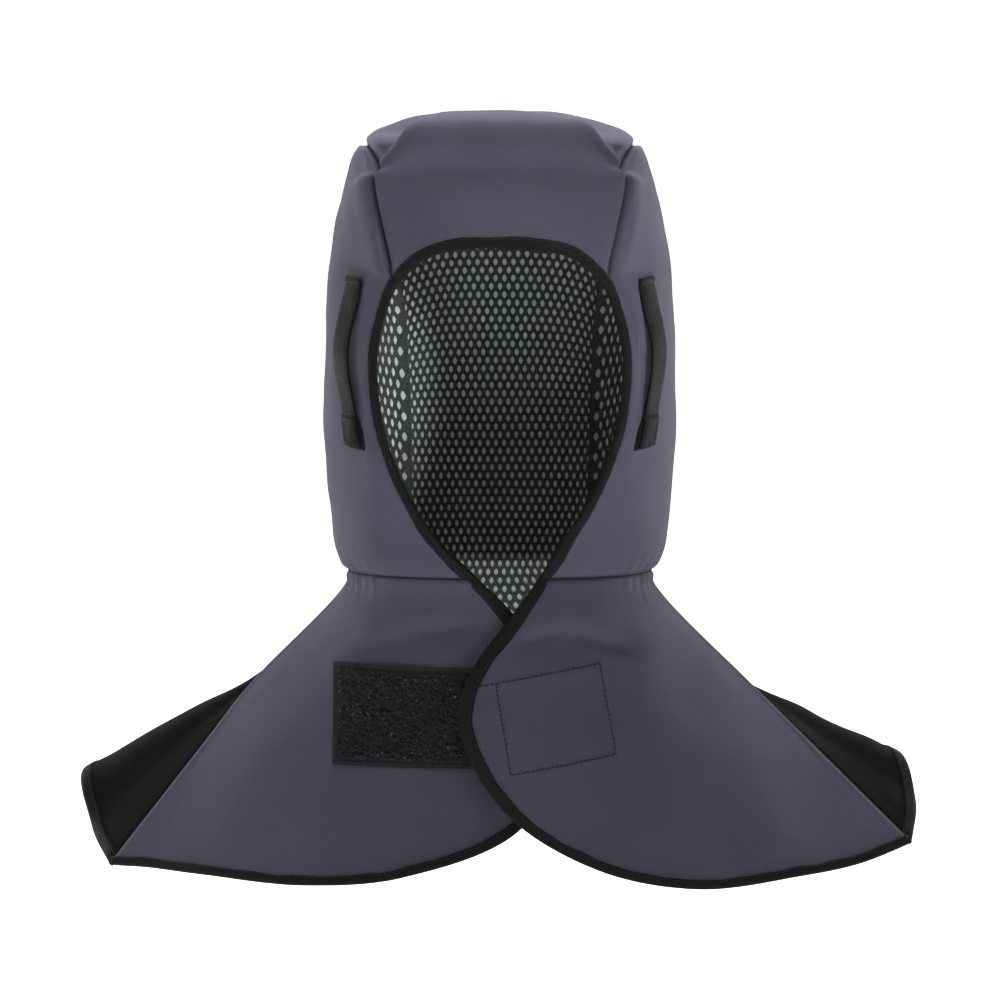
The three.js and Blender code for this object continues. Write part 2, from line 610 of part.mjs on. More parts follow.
// Hook-and-loop closure: the loop patch on the left flap, the hook patch behind the right one
const loopGrid = patchGrid(flaps.left.surface, LOOP_PATCH);
const loopOutward = outwardOf(loopGrid, CAPE_MIDDLE);
const loopTop = PATCH_GAP + LOOP_PATCH.thickness;
addPiece('loop_patch', wall(loopGrid, loopOutward, loopTop, PATCH_GAP), HOOK_AND_LOOP);
const hookGrid = patchGrid(flaps.right.surface, HOOK_PATCH);
const hookTop = -CLOTH - PATCH_GAP;
const hookOutward = outwardOf(hookGrid, CAPE_MIDDLE);
addPiece('hook_patch', wall(hookGrid, hookOutward, hookTop, hookTop - HOOK_PATCH.thickness), HOOK_AND_LOOP);

export default hood;
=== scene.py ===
"""Welder's cloth hood with a shoulder cape: shell, net lining, cape, tapes, webbing and patches."""
import math

import bmesh
import bpy
import numpy as np
from bpy.props import FloatProperty, FloatVectorProperty, PointerProperty
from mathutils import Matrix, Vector


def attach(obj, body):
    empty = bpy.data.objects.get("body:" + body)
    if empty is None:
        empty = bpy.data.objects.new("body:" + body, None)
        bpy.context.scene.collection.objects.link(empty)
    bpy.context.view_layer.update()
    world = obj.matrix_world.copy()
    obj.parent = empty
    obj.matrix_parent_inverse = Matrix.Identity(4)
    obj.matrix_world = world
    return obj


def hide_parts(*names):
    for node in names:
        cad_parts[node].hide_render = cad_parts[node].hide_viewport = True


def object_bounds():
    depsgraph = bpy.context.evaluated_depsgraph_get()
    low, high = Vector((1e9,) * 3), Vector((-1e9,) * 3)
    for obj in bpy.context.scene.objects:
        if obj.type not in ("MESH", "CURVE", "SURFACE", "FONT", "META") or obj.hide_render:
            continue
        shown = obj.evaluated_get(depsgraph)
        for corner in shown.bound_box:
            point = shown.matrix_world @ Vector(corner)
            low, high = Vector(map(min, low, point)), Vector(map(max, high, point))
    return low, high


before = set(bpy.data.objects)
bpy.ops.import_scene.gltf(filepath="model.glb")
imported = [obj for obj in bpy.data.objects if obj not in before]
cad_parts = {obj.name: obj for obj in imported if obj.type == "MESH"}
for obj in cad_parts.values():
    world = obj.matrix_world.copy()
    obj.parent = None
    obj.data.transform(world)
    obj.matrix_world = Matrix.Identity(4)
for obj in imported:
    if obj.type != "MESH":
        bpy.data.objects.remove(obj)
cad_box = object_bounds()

bl_info = {
    "name": "Welding Head Cover",
    "version": (1, 0, 0),
    "blender": (4, 5, 0),
    "location": "View3D > Sidebar > Head Cover",
    "description": "Builds a cloth welding hood with a net lining and a shoulder cape",
    "category": "Object",
}

# Millimetres in the hood's own frame, in which the crown's outer face is at the top
MM = 0.001
LIFT = 3.96  # the seat of the head is on the lining, and the frame's origin is there
SIDES = {"left": -1, "right": 1}

# Studio, in metres: the floor, the wall behind it, where the floor's glow sets in, and the camera's aim
FLOOR_BELOW = 0.06
FLOOR_HALF = 12.0
WALL_START = 4.0
WALL_BEND = 2.0
WALL_HEIGHT = 11.0
GLOW_START = -0.46
GLOW_FULL = -0.14
AIM_Z = -0.24504
SENSOR = 36.0  # width of the camera's sensor in millimetres
NARROW_SPREADS = {"key_light": math.radians(12), "lining_light": math.radians(9)}  # lights that are beams
WHITE = (1.0, 1.0, 1.0)

# Edges of a mesh that turn further than this stay sharp
SHARP_ANGLE = math.radians(52)

# A distance beyond every edge, in millimetres
FAR = 1000.0

# Layers of the hood's wall, from the outer face of the shell inwards
LINING_TOP = 1.96
LINING_THICKNESS = 2.0
LINING_SLACK = 2.4  # how far the lining hangs clear of the shell's small waves
EDGE_THINNING = 0.4  # share of the lining's thickness that is left under the face tape

# Net: its holes are ovals drawn a little to points at both ends, and keep clear of the cloth's ends
OVAL_POINT = 0.88
HOLE_MARGIN = 0.3
CELL_MARGIN = 0.4
CROWN_NET_HALF = 74.0
NET_RIM = 0.15  # from the net's face down to the rim of a hole, and on to the backing
NET_BACKING = 0.75

# Neck seam, where the hood joins the cape
NECK_Z = -293.0

# Seams pressed into the cloth: how deep and how wide
SEAM_WIDTH = 2.2
NECK_DIP = 2.2
NECK_DIP_WIDTH = 3.0
CAPE_DIP = 1.2

# Cloth edge of the face opening: an egg with a pointed chin that leans to the right
FACE_WIDEST_Z = -160.0
FACE_HALF_WIDTH = 79.0
FACE_TOP_Z = -87.0
FACE_TIP_Z = -313.0
FACE_TOP_ROUNDNESS = 2.55
FACE_TIP_ROUNDNESS = 2.1
FACE_TIP_SHIFT = 8.0
FACE_SHIFT_FROM_Z = -262.0

# Level sections of the hood: half width, and depth to the front and to the back
SECTION_ROUNDNESS = 2.6
LEVEL_COLUMNS = ("z", "half_width", "front", "back")
LEVELS = (
    (-293, 99.5, 92, 97),
    (-281, 105, 96, 105),
    (-262, 109, 99, 113),
    (-225, 112.5, 103, 122),
    (-165, 113.8, 106, 128),
    (-110, 110.8, 106, 126),
    (-70, 105.5, 104, 118),
    (-40, 99.5, 100, 105),
    (-18, 90.5, 92, 92),
)

# Crown panel, from the brow over the top and down to the nape: centre line, and the seam to a side panel
CROWN_DOME = 3.5
CROWN_COLUMNS = ("at", "centre_y", "centre_z", "seam_x", "seam_y", "seam_z")
CROWN = (
    (0.0, -104, -87, 66, -93, -111),
    (0.1, -101.5, -45, 80, -90, -47),
    (0.14, -96.5, -28, 75.5, -86, -40.5),
    (0.2, -84, -8, 84.5, -70, -25),
    (0.3, -34, 0, 87.5, -29, -19),
    (0.4, 15, 0, 88.5, 17, -19),
    (0.5, 72, -12, 86, 62, -31),
    (0.6, 113, -55, 79, 98, -72),
    (0.7, 128, -118, 71, 113, -128),
    (0.8, 125, -200, 67, 111, -200),
    (0.9, 113, -262, 66, 98, -262),
    (1.0, 95, -293, 64, 80, -293),
)
CORNER_AT = 0.2  # front end of the top run of the seam
NAPE_CORNER_AT = 0.5  # back end of the top run of the seam
BROW_SHARE = 11 / 15  # share of a side panel's front edge that is the face opening

# Steps across and along each grid
CROWN_STEPS = (96, 280)
SIDE_STEPS = (128, 138)
FLAP_STEPS = (130, 120)
CAPE_STEPS = (200, 96)
STRAP_STEPS = (18, 120)
LOOP_PATCH_STEPS = (160, 112)
HOOK_PATCH_STEPS = (58, 50)

# Free edges of the front flaps, from the neck seam round the rounded front corner to the hem tip
FLAP_CORNER = 0.42  # share of the edge that counts as the front edge, the rest being hem
FLAP_BELLY = {"left": 5.0, "right": 13.0}
FLAP_EDGE = {
    "right": (
        (7, -99, -317), (-18, -109, -351), (-24, -116, -383), (4, -123, -433.5), (60, -125, -468),
        (122, -116, -481.5), (190, -88, -478), (228, -69, -473.5),
    ),
    "left": (
        (8, -90, -316), (33, -90, -351), (39, -92, -388), (13, -106, -445.5), (-60, -114, -474.5),
        (-122, -107, -480.5), (-188, -82, -478), (-225, -62, -477),
    ),
}

# Cape sections from the left shoulder seam round the back to the right one: knee and hem of each
CAPE_TURNS = 24
SIDE_TURNS = 6  # turns of the cape under each side panel
NAPE_TURN = 12  # turn in the middle of the back
CAPE_COLUMNS = ("at", "knee_x", "knee_y", "knee_z", "hem_x", "hem_y", "hem_z")
CAPE = (
    (0, -163, -5, -369, -248.5, -52, -477.5),
    (2, -162, 0, -370, -263.5, -22, -457.5),
    (4, -161.5, 12, -368.5, -271, 16, -425.5),
    (7, -124, 66, -376, -206, 104, -455),
    (9.5, -70, 110, -388, -110, 148, -478),
    (12, 0, 126, -392, 0, 162, -484),
    (14.5, 70, 110, -388, 110, 148, -476),
    (17, 124, 66, -376, 204, 104, -448),
    (20, 163, 12, -370.5, 258.5, 16, -414.5),
    (22, 165, 0, -372, 268, -20, -441),
    (24, 166, -5, -371, 262, -50, -464),
)
NECK_DROP = 9.0  # the cloth falls this far from the neck seam before it turns to the shoulder
SLOPE_START = 0.35  # share of the way from the knee to the hem after which the cloth is straight

# Width of the tapes on the outer face, as shares of the widest, by height: z, share
FACE_TAPE_WIDTHS = (
    (-300, 0.78), (-285, 0.74), (-230, 0.48), (-160, 0.42), (-125, 0.48), (-95, 0.76), (-80, 0.8),
)
FLAP_TAPE_WIDTHS = (
    (-480, 0.6), (-462, 0.66), (-440, 0.84), (-400, 0.98),
    (-316, 1.0), (-302, 0.8), (-292, 0.68), (-284, 0.56),
)
CAPE_TAPE_WIDTHS = ((-480, 0.84), (-400, 0.84))
TAPE_SPACING = 1.1  # from ring to ring along a tape
TAPE_LAP = 14  # points of the face opening's edge that a flap's tape runs up
TAPE_LAP_RISE = 0.35
BROW_SAGS = ((24, 9, 2.4), (7, 6, 1.5))  # slack of the face tape over the brow: x, width, drop

# Thickness of the threads, as radius
THREAD = 0.24
PATCH_THREAD = 0.26
CLOSURE_THREAD = 0.46

# Folds: a line in the front view, from x, z to x, z, how wide the fold is and how far it stands out
FLAP_FOLDS = {
    "left": (
        (-88, -343, -8, -322, 9, -3.0),
        (-96, -327, -30, -309, 12, 3.0),
        (-150, -380, -170, -470, 26, 4.0),
    ),
    "right": (
        (8, -334, 88, -334, 10, -3.5),
        (32, -309, 98, -318, 12, 3.0),
        (150, -385, 176, -470, 26, 4.0),
    ),
}
SIDE_FOLDS = {
    "left": (
        (-86, -112, -79, -232, 5, 1.8),
        (-92, -96, -90, -200, 5, -1.4),
    ),
    "right": (
        (86, -112, 79, -230, 5, 1.8),
        (92, -96, 90, -200, 5, -1.4),
    ),
}

# Ridge of the crown panel over the forehead, from the seam's knee to the middle, in the front view: x, z
CROWN_RIDGE = ((75.5, -42), (71, -33), (64.5, -26), (61, -20.5), (56, -14), (44, -8), (28, -5), (0, -3))

# Creases of the flaps under the chin, each a swell over a groove, laid out as the folds are
FLAP_CREASES = {
    "left": (
        (-88, -342, -57, -329, 4, -2.2), (-57, -329, -8, -323, 4, -2.2),
        (-90, -333, -57, -320, 6, 1.6), (-57, -320, -10, -314, 6, 1.6),
    ),
    "right": (
        (9, -333, 40, -326, 4, -2.2), (40, -326, 89, -340, 4, -2.6),
        (12, -324, 40, -317, 6, 1.6), (40, -317, 92, -330, 6, 1.8),
    ),
}

# Webbing loops on the side panels
STRAP_LOW_COLUMN = 0.14
STRAP_HIGH_COLUMN = 0.167
STRAP_LEAN = 3
STRAP_HALF_COLUMNS = 0.05
STRAP_LOW = 0.315
STRAP_HIGH = 0.7
STRAP_SLACK = 3.6
STRAP_TOP = 2.0
STRAP_UNDER = 0.55
STRAP_RIBS = 7
STRAP_RIB_HEIGHT = 0.16
STRAP_WIDTHS = ((0, 0.82), (0.15, 0.84), (0.5, 0.9), (0.85, 0.98), (0.95, 0.86), (1, 0.74))  # up, share
STRAP_SEWN_LOW = 0.2
STRAP_SEWN_HIGH = 0.08

# Hook-and-loop patches: centre x, centre z, width, height, turn in degrees
LOOP_PATCH = (-59.5, -379.5, 90.0, 62.0, 0.0)
HOOK_PATCH = (34.5, -378.0, 66.0, 56.0, 9.5)
PATCH_TOP = 1.9  # from the flap to the patch's woven ground
PATCH_BORDER = 3.4  # from the patch's edge to its stitching
HOOK_GAP = 0.8  # from the flap's cloth to the hook patch
HOOK_GROUND = 1.2  # thickness of the hook patch's woven ground
HOOK_FOOT = 1.1
HOOK_RINGS = ((0.0, 0.28, 0.0), (0.7, 0.22, 0.05), (1.15, 0.3, 0.4), (1.05, 0.2, 0.75))  # rise, radius, lean

# Insides, to tell which way is out
HEAD_MIDDLE = np.array((0.0, 10.0, -150.0))
CAPE_MIDDLE = np.array((0.0, 30.0, -440.0))


def mix(start, end, share):
    return start + (end - start) * share


def smooth(value, low, high):
    share = np.clip((value - low) / (high - low), 0, 1)
    return share * share * (3 - 2 * share)


def hump(value, middle, width):
    return np.exp(-(((value - middle) / width) ** 2))


def unit(vectors):
    return vectors / np.maximum(np.linalg.norm(vectors, axis=-1, keepdims=True), 1e-9)


def points_of(x, y, z):
    return np.stack(np.broadcast_arrays(x, y, z), axis=-1).astype(float)


def run_lengths(line):
    """Length along a line of points, up to each of them."""
    steps = np.linalg.norm(np.diff(line, axis=0), axis=-1)
    return np.concatenate([[0.0], np.cumsum(steps)])


def read_line(at, lengths, line):
    """Points of a line at so many lengths."""
    return np.stack([np.interp(at, lengths, line[:, axis]) for axis in range(3)], axis=-1)


def cubic(start, end, leave, arrive, t):
    """Curve from start to end, with its slopes at both."""
    bend = 3 * (end - start) - 2 * leave - arrive + t * (2 * (start - end) + leave + arrive)
    return start + t * (leave + t * bend)


def denser_ends(steps):
    """Steps from 0 to 1 that are half as long at both ends."""
    turned = np.linspace(-1, 1, steps + 1)
    return (1.25 * turned - 0.25 * turned**3 + 1) / 2


def table_curve(names, rows):
    """Smooth curve through the rows of a table: every column as a function of the first one."""
    data = np.array(rows, float)
    key = data[:, 0]
    last = len(data) - 1
    before = np.maximum(np.arange(len(data)) - 1, 0)
    after = np.minimum(np.arange(len(data)) + 1, last)
    slopes = (data[after] - data[before]) / (key[after] - key[before])[:, None]

    def at(value):
        value = np.asarray(value, float)
        row = np.clip(np.searchsorted(key, value) - 1, 0, last - 1)
        span = key[row + 1] - key[row]
        t = np.clip((value - key[row]) / span, 0, 1)[..., None]
        leave, arrive = slopes[row] * span[..., None], slopes[row + 1] * span[..., None]
        values = cubic(data[row], data[row + 1], leave, arrive, t)
        return {name: values[..., index] for index, name in enumerate(names)}

    return at


level_at = table_curve(LEVEL_COLUMNS, LEVELS)
crown_at = table_curve(CROWN_COLUMNS, CROWN)
cape_at = table_curve(CAPE_COLUMNS, CAPE)


def even_curve(controls, shares):
    """Smooth curves through control points, read at shares of their length. controls[point][curve]"""
    controls = np.asarray(controls, float)
    ends = np.concatenate([
        [2 * controls[0] - controls[1]], controls, [2 * controls[-1] - controls[-2]],
    ])
    t = np.linspace(0, 1, 60, endpoint=False)[:, None, None]
    parts = []
    for span in range(len(controls) - 1):
        before, start, end, after = ends[span:span + 4]
        near, middle, far = (
            np.linalg.norm(b - a, axis=-1, keepdims=True) ** 0.5
            for a, b in ((before, start), (start, end), (end, after))
        )
        leave = (start - before) / near - (end - before) / (near + middle) + (end - start) / middle
        arrive = (end - start) / middle - (after - start) / (middle + far) + (after - end) / far
        parts.append(cubic(start, end, middle * leave, middle * arrive, t))
    curves = []
    for curve in np.concatenate(parts + [controls[-1:]]).transpose(1, 0, 2):
        lengths = run_lengths(curve)
        curves.append(read_line(np.asarray(shares) * lengths[-1], lengths, curve))
    return np.array(curves)


def face_half_width(z):
    rise = np.clip((z - FACE_WIDEST_Z) / (FACE_TOP_Z - FACE_WIDEST_Z), 0, 1)
    drop = np.clip((FACE_WIDEST_Z - z) / (FACE_WIDEST_Z - FACE_TIP_Z), 0, 1)
    upper = (1 - rise**FACE_TOP_ROUNDNESS) ** (1 / FACE_TOP_ROUNDNESS)
    lower = 1 - drop**FACE_TIP_ROUNDNESS
    return FACE_HALF_WIDTH * np.where(z > FACE_WIDEST_Z, upper, lower)


def face_shift(z):
    return FACE_TIP_SHIFT * smooth(FACE_SHIFT_FROM_Z - z, 0, FACE_SHIFT_FROM_Z - FACE_TIP_Z)


def section_point(level, angle, is_front):
    power = 2 / SECTION_ROUNDNESS
    depth = np.where(is_front, -level["front"], level["back"])
    return level["half_width"] * np.sin(angle) ** power, depth * np.abs(np.cos(angle)) ** power


def section_angle(level, x):
    return np.arcsin(np.clip(x / level["half_width"], 0, 1) ** (SECTION_ROUNDNESS / 2))


def crown_surface(across, at):
    row = crown_at(at)
    drop = np.abs(across) ** CROWN_DOME
    return points_of(
        row["seam_x"] * across,
        mix(row["centre_y"], row["seam_y"], drop),
        mix(row["centre_z"], row["seam_z"], drop),
    )


def seam_point(side, at):
    return crown_surface(np.full_like(np.asarray(at, float), side), at)


def brow_seam_at(row):
    """Place along the crown's seam of a side panel's row above the face opening."""
    return CORNER_AT * np.clip((row - BROW_SHARE) / (1 - BROW_SHARE), 0, 1)


def top_seam_at(column):
    return mix(CORNER_AT, NAPE_CORNER_AT, column)


def back_seam_at(row):
    return mix(1, NAPE_CORNER_AT, row)


def side_surface(side):
    """Side panel: column 0 at the face, 1 at the back seam, row 0 at the neck, 1 at the top."""

    def face_edge(row):
        seam = seam_point(side, brow_seam_at(row))
        z = mix(NECK_Z, CROWN[0][5], np.minimum(row / BROW_SHARE, 1))
        x = face_half_width(z) + side * face_shift(z)
        level = level_at(z)
        y = section_point(level, section_angle(level, x), True)[1]
        near_seam = smooth(row, 0.75 * BROW_SHARE, BROW_SHARE)[..., None]
        return mix(points_of(side * x, y, z), seam, near_seam)

    def body(column, row):
        is_front = column < 0.5
        edge = np.where(is_front[..., None], face_edge(row), seam_point(side, back_seam_at(row)))
        widest_z = mix(NECK_Z, LEVELS[-1][0], row)
        level = level_at(widest_z)
        away = np.abs(column - 0.5) * 2
        edge_angle = section_angle(level, np.abs(edge[..., 0]))
        x, y = section_point(level, mix(math.pi / 2, edge_angle, away), is_front)
        edge_x, edge_y = section_point(level, edge_angle, is_front)
        near_edge = smooth(away, 0, 1)
        return points_of(
            side * (x + (np.abs(edge[..., 0]) - edge_x) * near_edge),
            y + (edge[..., 1] - edge_y) * near_edge,
            mix(widest_z, edge[..., 2], away**2),
        )

    def surface(column, row):
        column, row = np.broadcast_arrays(np.asarray(column, float), np.asarray(row, float))
        seam = seam_point(side, top_seam_at(column))
        near_top = smooth(row, 0.8, 1)[..., None]
        return body(column, row) + near_top * (seam - body(column, np.ones_like(row)))

    return surface


side_surfaces = {name: side_surface(side) for name, side in SIDES.items()}


def back_neck(turn):
    """Neck line of the back cape, by its turn from the left shoulder seam to the right one."""
    turn = np.asarray(turn, float)
    after = CAPE_TURNS - turn
    left = side_surfaces["left"](np.clip(0.5 + turn / NAPE_TURN, 0.5, 1), 0.0)
    right = side_surfaces["right"](np.clip(0.5 + after / NAPE_TURN, 0.5, 1), 0.0)
    nape = crown_surface(np.clip((turn - NAPE_TURN) / SIDE_TURNS, -1, 1), np.ones_like(turn))
    at_left, at_right = (turn <= SIDE_TURNS)[:, None], (after <= SIDE_TURNS)[:, None]
    return np.where(at_left, left, np.where(at_right, right, nape))


def cape_curves(turns, shares):
    """Columns of the cape from the neck seam over the knee to the hem."""
    row = cape_at(turns)
    knee = points_of(row["knee_x"], row["knee_y"], row["knee_z"])
    hem = points_of(row["hem_x"], row["hem_y"], row["hem_z"])
    neck = back_neck(turns)
    drop = neck - (0.0, 0.0, NECK_DROP)
    return even_curve(np.stack([neck, drop, knee, mix(knee, hem, SLOPE_START), hem]), shares)


def fold_height(folds, x, z):
    height = np.zeros_like(x)
    for from_x, from_z, to_x, to_z, width, rise in folds:
        along = np.array((to_x - from_x, to_z - from_z), float)
        length = np.hypot(*along)
        share = ((x - from_x) * along[0] + (z - from_z) * along[1]) / length**2
        aside = np.abs((x - from_x) * along[1] - (z - from_z) * along[0]) / length
        fade = smooth(share, -0.15, 0.25) * (1 - smooth(share, 0.75, 1.15))
        height = height + rise * fade * hump(aside, 0, width)
    return height


def flap_surface(name):
    """Front flap between its four edges: column 0 at the shoulder seam, 1 at the front edge."""
    reads = np.linspace(0, 1, 801)
    neck = side_surfaces[name](0.5 - reads / 2, 0.0)
    turn = 0.0 if name == "left" else float(CAPE_TURNS)
    shoulder = cape_curves(np.array([turn]), reads)[0]
    controls = np.concatenate([neck[-1:], np.array(FLAP_EDGE[name], float), shoulder[-1:]])
    free = even_curve(controls[:, None], reads)[0]

    def read(line, share):
        return read_line(share, reads, line)

    corners = neck[0], neck[-1], shoulder[-1], read(free, FLAP_CORNER)

    def surface(column, row):
        column, row = np.broadcast_arrays(np.asarray(column, float), np.asarray(row, float))
        c, r = column[..., None], row[..., None]
        place = read(neck, column) * (1 - r) + read(free, mix(1, FLAP_CORNER, column)) * r
        place = place + read(shoulder, row) * (1 - c) + read(free, FLAP_CORNER * row) * c
        place = place - corners[0] * (1 - c) * (1 - r) - corners[1] * c * (1 - r)
        place = place - corners[2] * (1 - c) * r - corners[3] * c * r
        inner = np.min([column, 1 - column, row, 1 - row], axis=0)
        stands = fold_height(FLAP_FOLDS[name], place[..., 0], place[..., 2]) * smooth(inner, 0, 0.12)
        stands = stands + FLAP_BELLY[name] * np.sin(math.pi * column) * np.sin(math.pi * row)
        place[..., 1] -= stands
        return place

    return surface


flap_surfaces = {name: flap_surface(name) for name in SIDES}


# Grids of points, grid[row][column]


def outward_of(grid, inside):
    down, along = np.gradient(grid, axis=0), np.gradient(grid, axis=1)
    direction = unit(np.cross(along, down))
    facing = np.sum(direction * (grid - inside))
    return direction if facing > 0 else -direction


def lengths_of(grid):
    """Lengths over the cloth from the first column and from the first row."""
    from_column = np.array([run_lengths(row) for row in grid])
    from_row = np.array([run_lengths(column) for column in grid.transpose(1, 0, 2)]).T
    return from_column, from_row


def edge_distances(grid):
    """Lengths over the cloth to the first column, last column, first row and last row."""
    from_column, from_row = lengths_of(grid)
    return from_column, from_column[:, -1:] - from_column, from_row, from_row[-1:] - from_row


def crumple(places, seed, length, height):
    """Shallow waves of loose cloth, about so long and so high."""
    draw = np.random.default_rng(seed)
    waves = np.zeros(places.shape[:-1])
    for _ in range(12):
        aim = unit(draw.normal(size=3)) * 2 * math.pi / (length * draw.uniform(0.6, 1.8))
        waves = waves + np.sin(places @ aim + draw.uniform(0, 2 * math.pi))
    return height * 1.5 * np.tanh(waves / math.sqrt(6) / 1.5)


def rim_of(rows, columns):
    index = np.arange(rows * columns).reshape(rows, columns)
    return np.concatenate([index[0, :-1], index[:-1, -1], index[-1, :0:-1], index[:0:-1, 0]])


def wall(grid, outward, outer, inner):
    """Closed cloth wall between two offsets from a grid, as points and faces."""
    rows, columns = grid.shape[:2]
    count = rows * columns
    offsets = [np.broadcast_to(offset, (rows, columns))[..., None] for offset in (outer, inner)]
    points = np.concatenate([(grid + outward * offset).reshape(-1, 3) for offset in offsets])
    index = np.arange(count).reshape(rows, columns)
    a, b, c, d = index[:-1, :-1], index[:-1, 1:], index[1:, 1:], index[1:, :-1]
    face = np.stack([a, b, c, d], axis=-1).reshape(-1, 4)
    rim = rim_of(rows, columns)
    after = np.roll(rim, -1)
    edge = np.stack([rim, rim + count, after + count, after], axis=-1)
    return points, np.concatenate([face, face[:, ::-1] + count, edge]).tolist()


def tube(rings):
    """Closed tube through rings of points, rings[station][point]."""
    stations, sides = rings.shape[:2]
    index = np.arange(stations * sides).reshape(stations, sides)
    a, b = index[:-1], np.roll(index[:-1], -1, axis=1)
    d, c = index[1:], np.roll(index[1:], -1, axis=1)
    faces = np.stack([a, b, c, d], axis=-1).reshape(-1, 4).tolist()
    faces.append(index[0, ::-1].tolist())
    faces.append(index[-1].tolist())
    return rings.reshape(-1, 3), faces


def joined(parts):
    """One mesh from several meshes given as points and faces."""
    points, faces, count = [], [], 0
    for part_points, part_faces in parts:
        points.append(part_points)
        faces.extend([[corner + count for corner in face] for face in part_faces])
        count += len(part_points)
    return np.concatenate(points), faces


# Finishes


class Wire:
    """A value on its way through a finish. Sums of wires add the nodes that work them out."""

    def __init__(self, finish, socket):
        self.finish = finish
        self.socket = socket

    def _math(self, operation, other):
        return self.finish.node("ShaderNodeMath", {"operation": operation}, {0: self, 1: other})

    def __add__(self, other):
        return self._math("ADD", other)

    def __sub__(self, other):
        return self._math("SUBTRACT", other)

    def __mul__(self, other):
        return self._math("MULTIPLY", other)

    def sine(self):
        return self._math("SINE", 0.0)


class Finish:
    """A material, with its shader's fixed values and the nodes that vary over the surface."""

    def __init__(self, name, roughness, specular=0.3, sheen=0.0, glow=0.0):
        self.material = bpy.data.materials.new(name)
        self.material.use_nodes = True
        self.tree = self.material.node_tree
        self.shader = self.tree.nodes["Principled BSDF"]
        fixed = {
            "Roughness": roughness, "Specular IOR Level": specular, "Sheen Weight": sheen,
            "Sheen Roughness": 0.6, "Emission Strength": glow,
        }
        for socket, value in fixed.items():
            self.shader.inputs[socket].default_value = value

    def node(self, kind, settings, inputs, output=0):
        """Adds a node: its settings first, then the values or links of its sockets."""
        made = self.tree.nodes.new(kind)
        for name, value in settings.items():
            setattr(made, name, value)
        for name, value in inputs.items():
            if isinstance(value, Wire):
                self.tree.links.new(value.socket, made.inputs[name])
            else:
                made.inputs[name].default_value = value
        return Wire(self, made.outputs[output])

    def feed(self, socket, wire):
        self.tree.links.new(wire.socket, self.shader.inputs[socket])

    def place(self):
        return self.node("ShaderNodeTexCoord", {}, {}, "Object")

    def measure(self, name, output="Fac"):
        """A measure that the mesh carries at each of its points."""
        return self.node("ShaderNodeAttribute", {"attribute_name": name}, {}, output)

    def span(self, wire, low, high, to_low=0.0, to_high=1.0):
        """A value carried from one span to another, and held to it."""
        inputs = {"Value": wire, "From Min": low, "From Max": high, "To Min": to_low, "To Max": to_high}
        return self.node("ShaderNodeMapRange", {}, inputs)

    def noise(self, scale, detail=3.0, low=0.3, high=0.7, roughness=0.55):
        """Noise over the surface, spread from 0 to 1."""
        inputs = {"Vector": self.place(), "Scale": scale, "Detail": detail, "Roughness": roughness}
        return self.span(self.node("ShaderNodeTexNoise", {}, inputs), low, high)

    def fibre(self, scale, detail=2.0):
        return self.noise(scale, detail, 0.25, 0.75)

    def blend(self, share, first, second):
        """Colour between two colours."""
        return self.node("ShaderNodeMix", {"data_type": "RGBA"}, {0: share, 6: first, 7: second}, 2)

    def dress(self, colour, rough, low, high, height, distance):
        """Feeds the colour, the roughness between two values and the relief to the shader."""
        self.feed("Base Color", colour)
        self.feed("Roughness", self.span(rough, 0.0, 1.0, low, high))
        relief = {"Height": height, "Distance": distance, "Strength": 1.0}
        self.feed("Normal", self.node("ShaderNodeBump", {}, relief))
        return self.material


def shade(colour, share):
    return tuple(value * share for value in colour[:3]) + (1.0,)


def weave_height(finish, pitch):
    """Twill threads of so many millimetres, along and across the cloth."""
    along = finish.node("ShaderNodeSeparateXYZ", {}, {0: finish.measure("weave", "Vector")})
    across = Wire(finish, along.socket.node.outputs[1])
    turn = 2 * math.pi / pitch
    diagonal = ((along + across) * turn).sine()
    crossing = ((along - across) * (turn * 0.5)).sine()
    return diagonal * 0.7 + crossing * 0.3


def cloth_finish(name, colour, pitch, wear, roughness, sheen):
    """Woven cloth: a fine twill, soft blotches of colour, painted shade along the seams and a painted
    highlight that makes rolled edges paler.
    """
    finish = Finish(name, roughness=roughness, sheen=sheen, specular=0.15)
    fibre = finish.fibre(900.0)
    base = finish.blend(finish.noise(14.0), shade(colour, 0.93), shade(colour, 1.08))
    fine = finish.blend(fibre * 0.35, base, shade(colour, 0.72))
    # Painted shade: darker along the seam ditches
    dark = finish.blend(finish.measure("crease"), fine, shade(colour, 0.28))
    # Painted highlight: paler along the rolled shoulder edges of the flaps
    painted_edge_highlight = finish.blend(finish.measure("wear") * wear, dark, shade(colour, 1.7))
    height = weave_height(finish, pitch) + fibre * 1.4
    return finish.dress(painted_edge_highlight, fibre, roughness - 0.06, roughness + 0.08, height, 0.00012)


def tape_finish(name, colour):
    """Binding tape: close ribs across its width and a soft shine."""
    finish = Finish(name, roughness=0.78, specular=0.2)
    fibre = finish.fibre(700.0)
    base = finish.blend(finish.noise(40.0), shade(colour, 0.85), shade(colour, 1.25))
    ribbed = finish.blend(fibre * 0.4, base, shade(colour, 0.6))
    return finish.dress(ribbed, fibre, 0.62, 0.82, weave_height(finish, 0.9) + fibre, 0.00012)


def yarn_finish(name, colour, scale, specular, dark, pale, roughness, relief):
    """Threads of the net and of the stitching: a fine twist."""
    finish = Finish(name, roughness=roughness, specular=specular)
    fibre = finish.fibre(scale)
    twist = finish.blend(fibre, shade(colour, dark), shade(colour, pale))
    return finish.dress(twist, fibre, roughness - 0.1, roughness + 0.1, fibre, relief)


def backing_finish(name, colour):
    """Pale brushed cloth behind the net."""
    finish = Finish(name, roughness=0.95, sheen=0.1, specular=0.15)
    fibre = finish.fibre(600.0, 3.0)
    base = finish.blend(finish.noise(30.0), shade(colour, 0.8), shade(colour, 1.08))
    brushed = finish.blend(fibre * 0.3, base, shade(colour, 0.6))
    return finish.dress(brushed, fibre, 0.88, 1.0, fibre, 0.0003)


